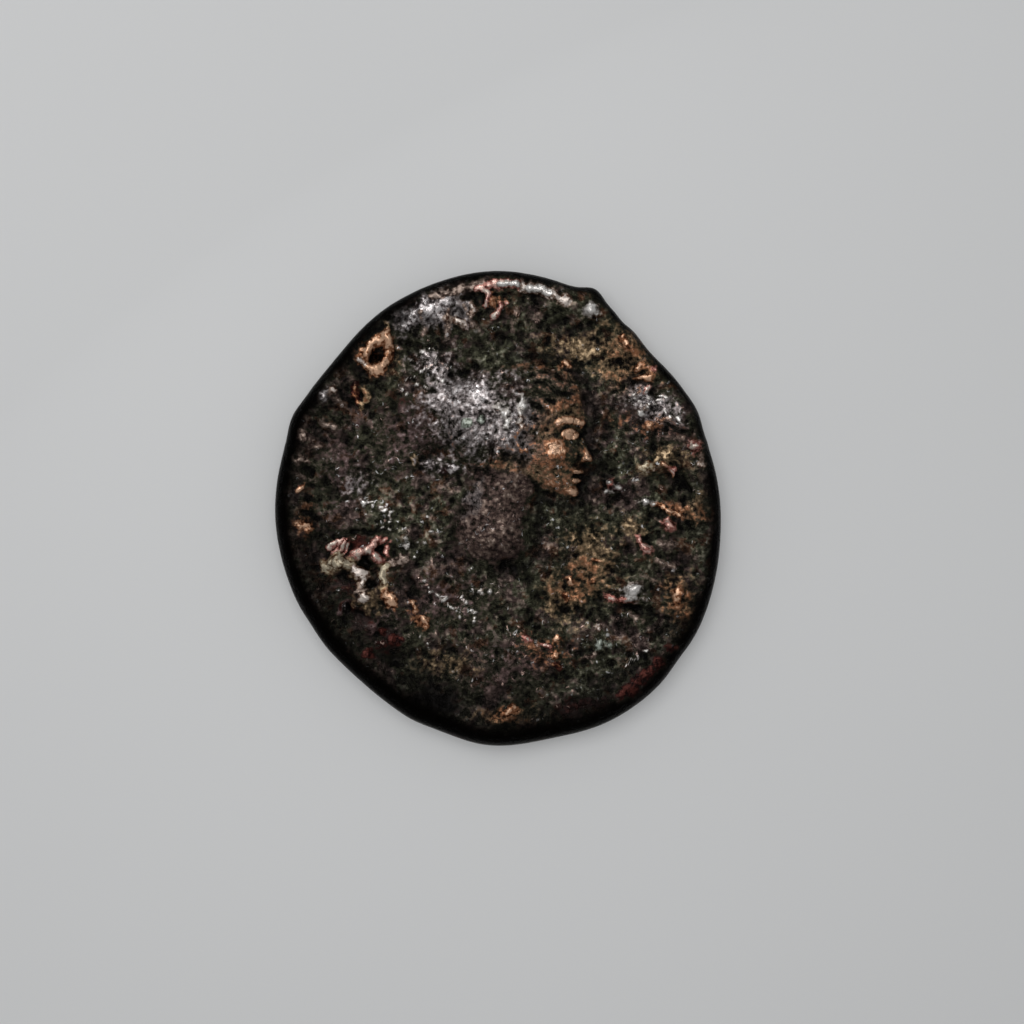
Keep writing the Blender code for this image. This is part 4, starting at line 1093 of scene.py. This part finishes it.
class Patina(Nodes):
    """The layers of the coin's material, with the textures and masks that they share."""

    def __init__(self, name):
        super().__init__(name)
        self.clumps = self.noise(1.8, 4.0, 0.62)
        self.grit = self.noise(3.6, 3.0, 0.60)
        self.specks = self.noise(6.5, 1.0, 0.5)
        self.dust = self.noise(14.0, 2.0, 0.7)
        self.gap, self.chance, self.tone = self.grains(GRAINS_PER_MM)
        self.high, self.worn, self.edge = self.mask("high"), self.mask("worn"), self.mask("edge")
        self.fine = self.specks * 0.8 - 0.25
        # The level rises on bumps and falls in hollows, which paints highlight and shade into the colour.
        self.level = self.clumps * 0.62 + 0.235 + self.grit * 0.52 + self.fine + self.high * 0.16

    def ground(self):
        """Mottled green, purple and red, which is black in low places and grey in high ones: partly painted
        shade and highlight, as the level rises on bumps.
        """
        blotches, patches = self.noise(0.9, 3.0, 0.6), self.noise(1.6, 3.0, 0.6)
        hue = (blotches + self.tone * 0.16).between(0.54, 0.72)
        ground = self.mix_colour(hue, DARK_GREEN, DARK_PURPLE)
        ground = self.mix_colour(patches.between(0.54, 0.66), ground, DARK_RED)
        ground = self.mix_colour(self.level.between(*BLACK_TO_GROUND), BLACK, ground)
        grey = self.mix_colour(hue, GREY_GREEN, WARM_GREY)
        return self.mix_colour(self.level.between(*GROUND_TO_GREY, 0.0, 0.9), ground, grey)

    def tinted(self, colour):
        """(the colour with the tints laid over it where their masks are, how metallic it is)"""
        pitted = (self.grit + self.specks * 0.6).between(0.66, 0.94, 0.52, 0.0) * self.worn
        wander = self.grit * 1.3 + self.fine + self.high * 0.18
        speckled = (self.specks - 0.5) * 0.7 + self.level * 1.20
        metal = GROUND_METALLIC
        for name, low, middle, bright, metallic in TINTS:
            mask = self.mask(name)
            here = (mask + (wander - 0.80)).between(0.14, 0.66) * mask.between(0.02, 0.15)
            if name == "pink":
                bright = self.mix_colour(self.clumps.between(0.46, 0.60), bright, CREAM)
            lit = mask * 0.95 + speckled
            if name != "bead":
                lit = lit - pitted * (0.6 if name == "pink" else 1.0)
            tint = self.mix_colour(lit.between(*LOW_TO_MIDDLE), low, middle)
            tint = self.mix_colour(lit.between(*MIDDLE_TO_BRIGHT), tint, bright)
            colour = self.mix_colour(here, colour, tint)
            metal = self.mix_number(here, metal, metallic)
        return colour, metal

    def painted_glint(self):
        """1 on small grains painted as bright glints, only on bumps: by chance, along veins, and more of them
        where the glints are.
        """
        vein = abs(self.noise(2.6, 2.0, 0.5, 0.6) - 0.5).between(0.0, 0.08, 1.0, 0.0)
        luck = vein * 0.5 + self.chance * 0.5 + self.mask("glint") * 0.38
        bead = luck.between(0.80, 1.00) * self.gap.between(0.20, 0.60, 1.0, 0.0)
        return bead * self.high.between(-0.4, 0.4) * (1.0 - self.worn)

    def painted_shade_share(self):
        """What share of the colour the painted shade leaves: in the gaps between grains, in the hollows, in the
        shade and on the edge.
        """
        share = self.gap.between(0.40, 0.80, 1.0, 0.7) * self.high.between(-1.6, 0.2, 0.25, 1.0)
        share = share.or_more(self.worn * 0.8) * (1.0 - self.mask("shade") * 0.85)
        return share * ((1.0 - self.edge) * DEPTH_OF_COLOUR)

    def roughness(self, metal):
        """Glossier on glints, red patches and bare metal, and dull on the black edge."""
        gloss = self.mask("glint").between(0.1, 0.8).or_more(self.mask("red").between(0.6, 0.9))
        gloss = gloss.or_more(metal.between(0.75, 0.95))
        roughness = self.mix_number(gloss, 0.38, 0.28) + self.dust.between(0.35, 0.65, -0.04, 0.06)
        return self.mix_number(self.edge, roughness, 0.7)

    def bumps(self):
        """Dust, on grains, on the crests between small hills."""
        fine = self.bump(self.dust, 0.004, 0.7)
        grains = self.bump(self.gap * -1.0, 0.020, self.mix_number(self.worn, 0.8, 0.3), fine)
        crests = self.grit - abs(self.grit - 0.5)
        return self.bump(crests, 0.15, self.mix_number(self.worn, 0.8, 0.35), grains)


def patina():
    n = Patina("patinated_copper_finished")
    colour, metal = n.tinted(n.ground())
    # Painted glints: whitish or pinkish grains laid over the colour, made metallic too.
    painted_glint = n.painted_glint()
    glint = n.mix_colour(n.tone.between(0.6, 0.8), WHITE_GLINT, PINK_GLINT)
    colour = n.mix_colour(painted_glint * 0.9, colour, glint)
    metal = metal.or_more(painted_glint)
    # The painted shade mixes the colour towards black.
    n.link(n.mix_colour(n.painted_shade_share(), BLACK, colour), n.shader.inputs["Base Color"])
    n.link(n.mix_number(n.edge, metal, 1.0), n.shader.inputs["Metallic"])
    n.link(n.roughness(metal), n.shader.inputs["Roughness"])
    n.link(n.bumps(), n.shader.inputs["Normal"])
    n.shader.inputs["Specular IOR Level"].default_value = 0.12
    return n.material


def table_paper():
    n = Nodes("pale_table")
    n.link(n.mix_colour(n.noise(0.02, 2.0).between(0.3, 0.7), *TABLE_COLOURS), n.shader.inputs["Base Color"])
    n.shader.inputs["Roughness"].default_value = 0.9
    return n.material


# ---- stage ----

VIEW_WIDTH = 41.16  # of the table, across the picture at the height of the coin's edge
EDGE_HEIGHT = 0.85
LENS, SENSOR = 100, 36
AIM = (0.56, -0.14)  # the picture's middle, from the coin's middle
TABLE_SIZE = 900
TABLE_COLOURS = ((0.715, 0.720, 0.722, 1), (0.735, 0.740, 0.742, 1))
LIGHTS = (  # (name, bearing, elevation, distance, size, watts, whether it casts shadows)
    ("key", 118, 76, 100, 64, 0.0225, True),
    ("fill", 118, 76, 100, 64, 0.0150, False),
    ("glint", 118, 42, 110, 19, 0.0145, False),
    ("left", 172, 60, 220, 120, 0.011, True),
)
SKY_COLOUR, SKY_STRENGTH = (0.98, 0.99, 1.0, 1), 0.34


def add_object(name, data):
    made = bpy.data.objects.new(name, data)
    bpy.context.scene.collection.objects.link(made)
    return made


def table():
    half = TABLE_SIZE / 2 * MM
    corners = [(-half, -half, 0), (half, -half, 0), (half, half, 0), (-half, half, 0)]
    mesh = bpy.data.meshes.new("table")
    mesh.from_pydata(corners, [], [(0, 1, 2, 3)])
    mesh.materials.append(table_paper())
    return add_object("table", mesh)


def soft_light(name, bearing, elevation, distance, size, watts, shadow):
    """An area light that points at the coin."""
    light = bpy.data.lights.new(name, "AREA")
    light.shape = "RECTANGLE"
    light.size = light.size_y = size * MM
    light.energy = watts
    light.use_shadow = shadow
    lamp = add_object(name, light)
    b, e = radians(bearing), radians(elevation)
    away = (cos(e) * cos(b), cos(e) * sin(b), sin(e))
    lamp.location = [distance * MM * part for part in away]
    lamp.rotation_euler = (pi / 2 - e, 0, b + pi / 2)


def sky():
    world = bpy.data.worlds.new("studio")
    world.use_nodes = True
    background = world.node_tree.nodes["Background"]
    background.inputs["Color"].default_value = SKY_COLOUR
    background.inputs["Strength"].default_value = SKY_STRENGTH
    bpy.context.scene.world = world


def camera():
    data = bpy.data.cameras.new("camera")
    data.lens, data.sensor_width = LENS, SENSOR
    data.clip_start, data.clip_end = 0.005, 5
    view = add_object("camera", data)
    view.location = (AIM[0] * MM, AIM[1] * MM, (EDGE_HEIGHT + VIEW_WIDTH * LENS / SENSOR) * MM)
    bpy.context.scene.camera = view


def main():
    coin = add_object("coin_finished", coin_mesh())
    coin.data.materials.append(patina())
    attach(coin, "root")
    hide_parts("coin")
    table()
    for light in LIGHTS:
        soft_light(*light)
    sky()
    camera()
    bpy.context.scene.view_settings.view_transform = "Standard"


main()
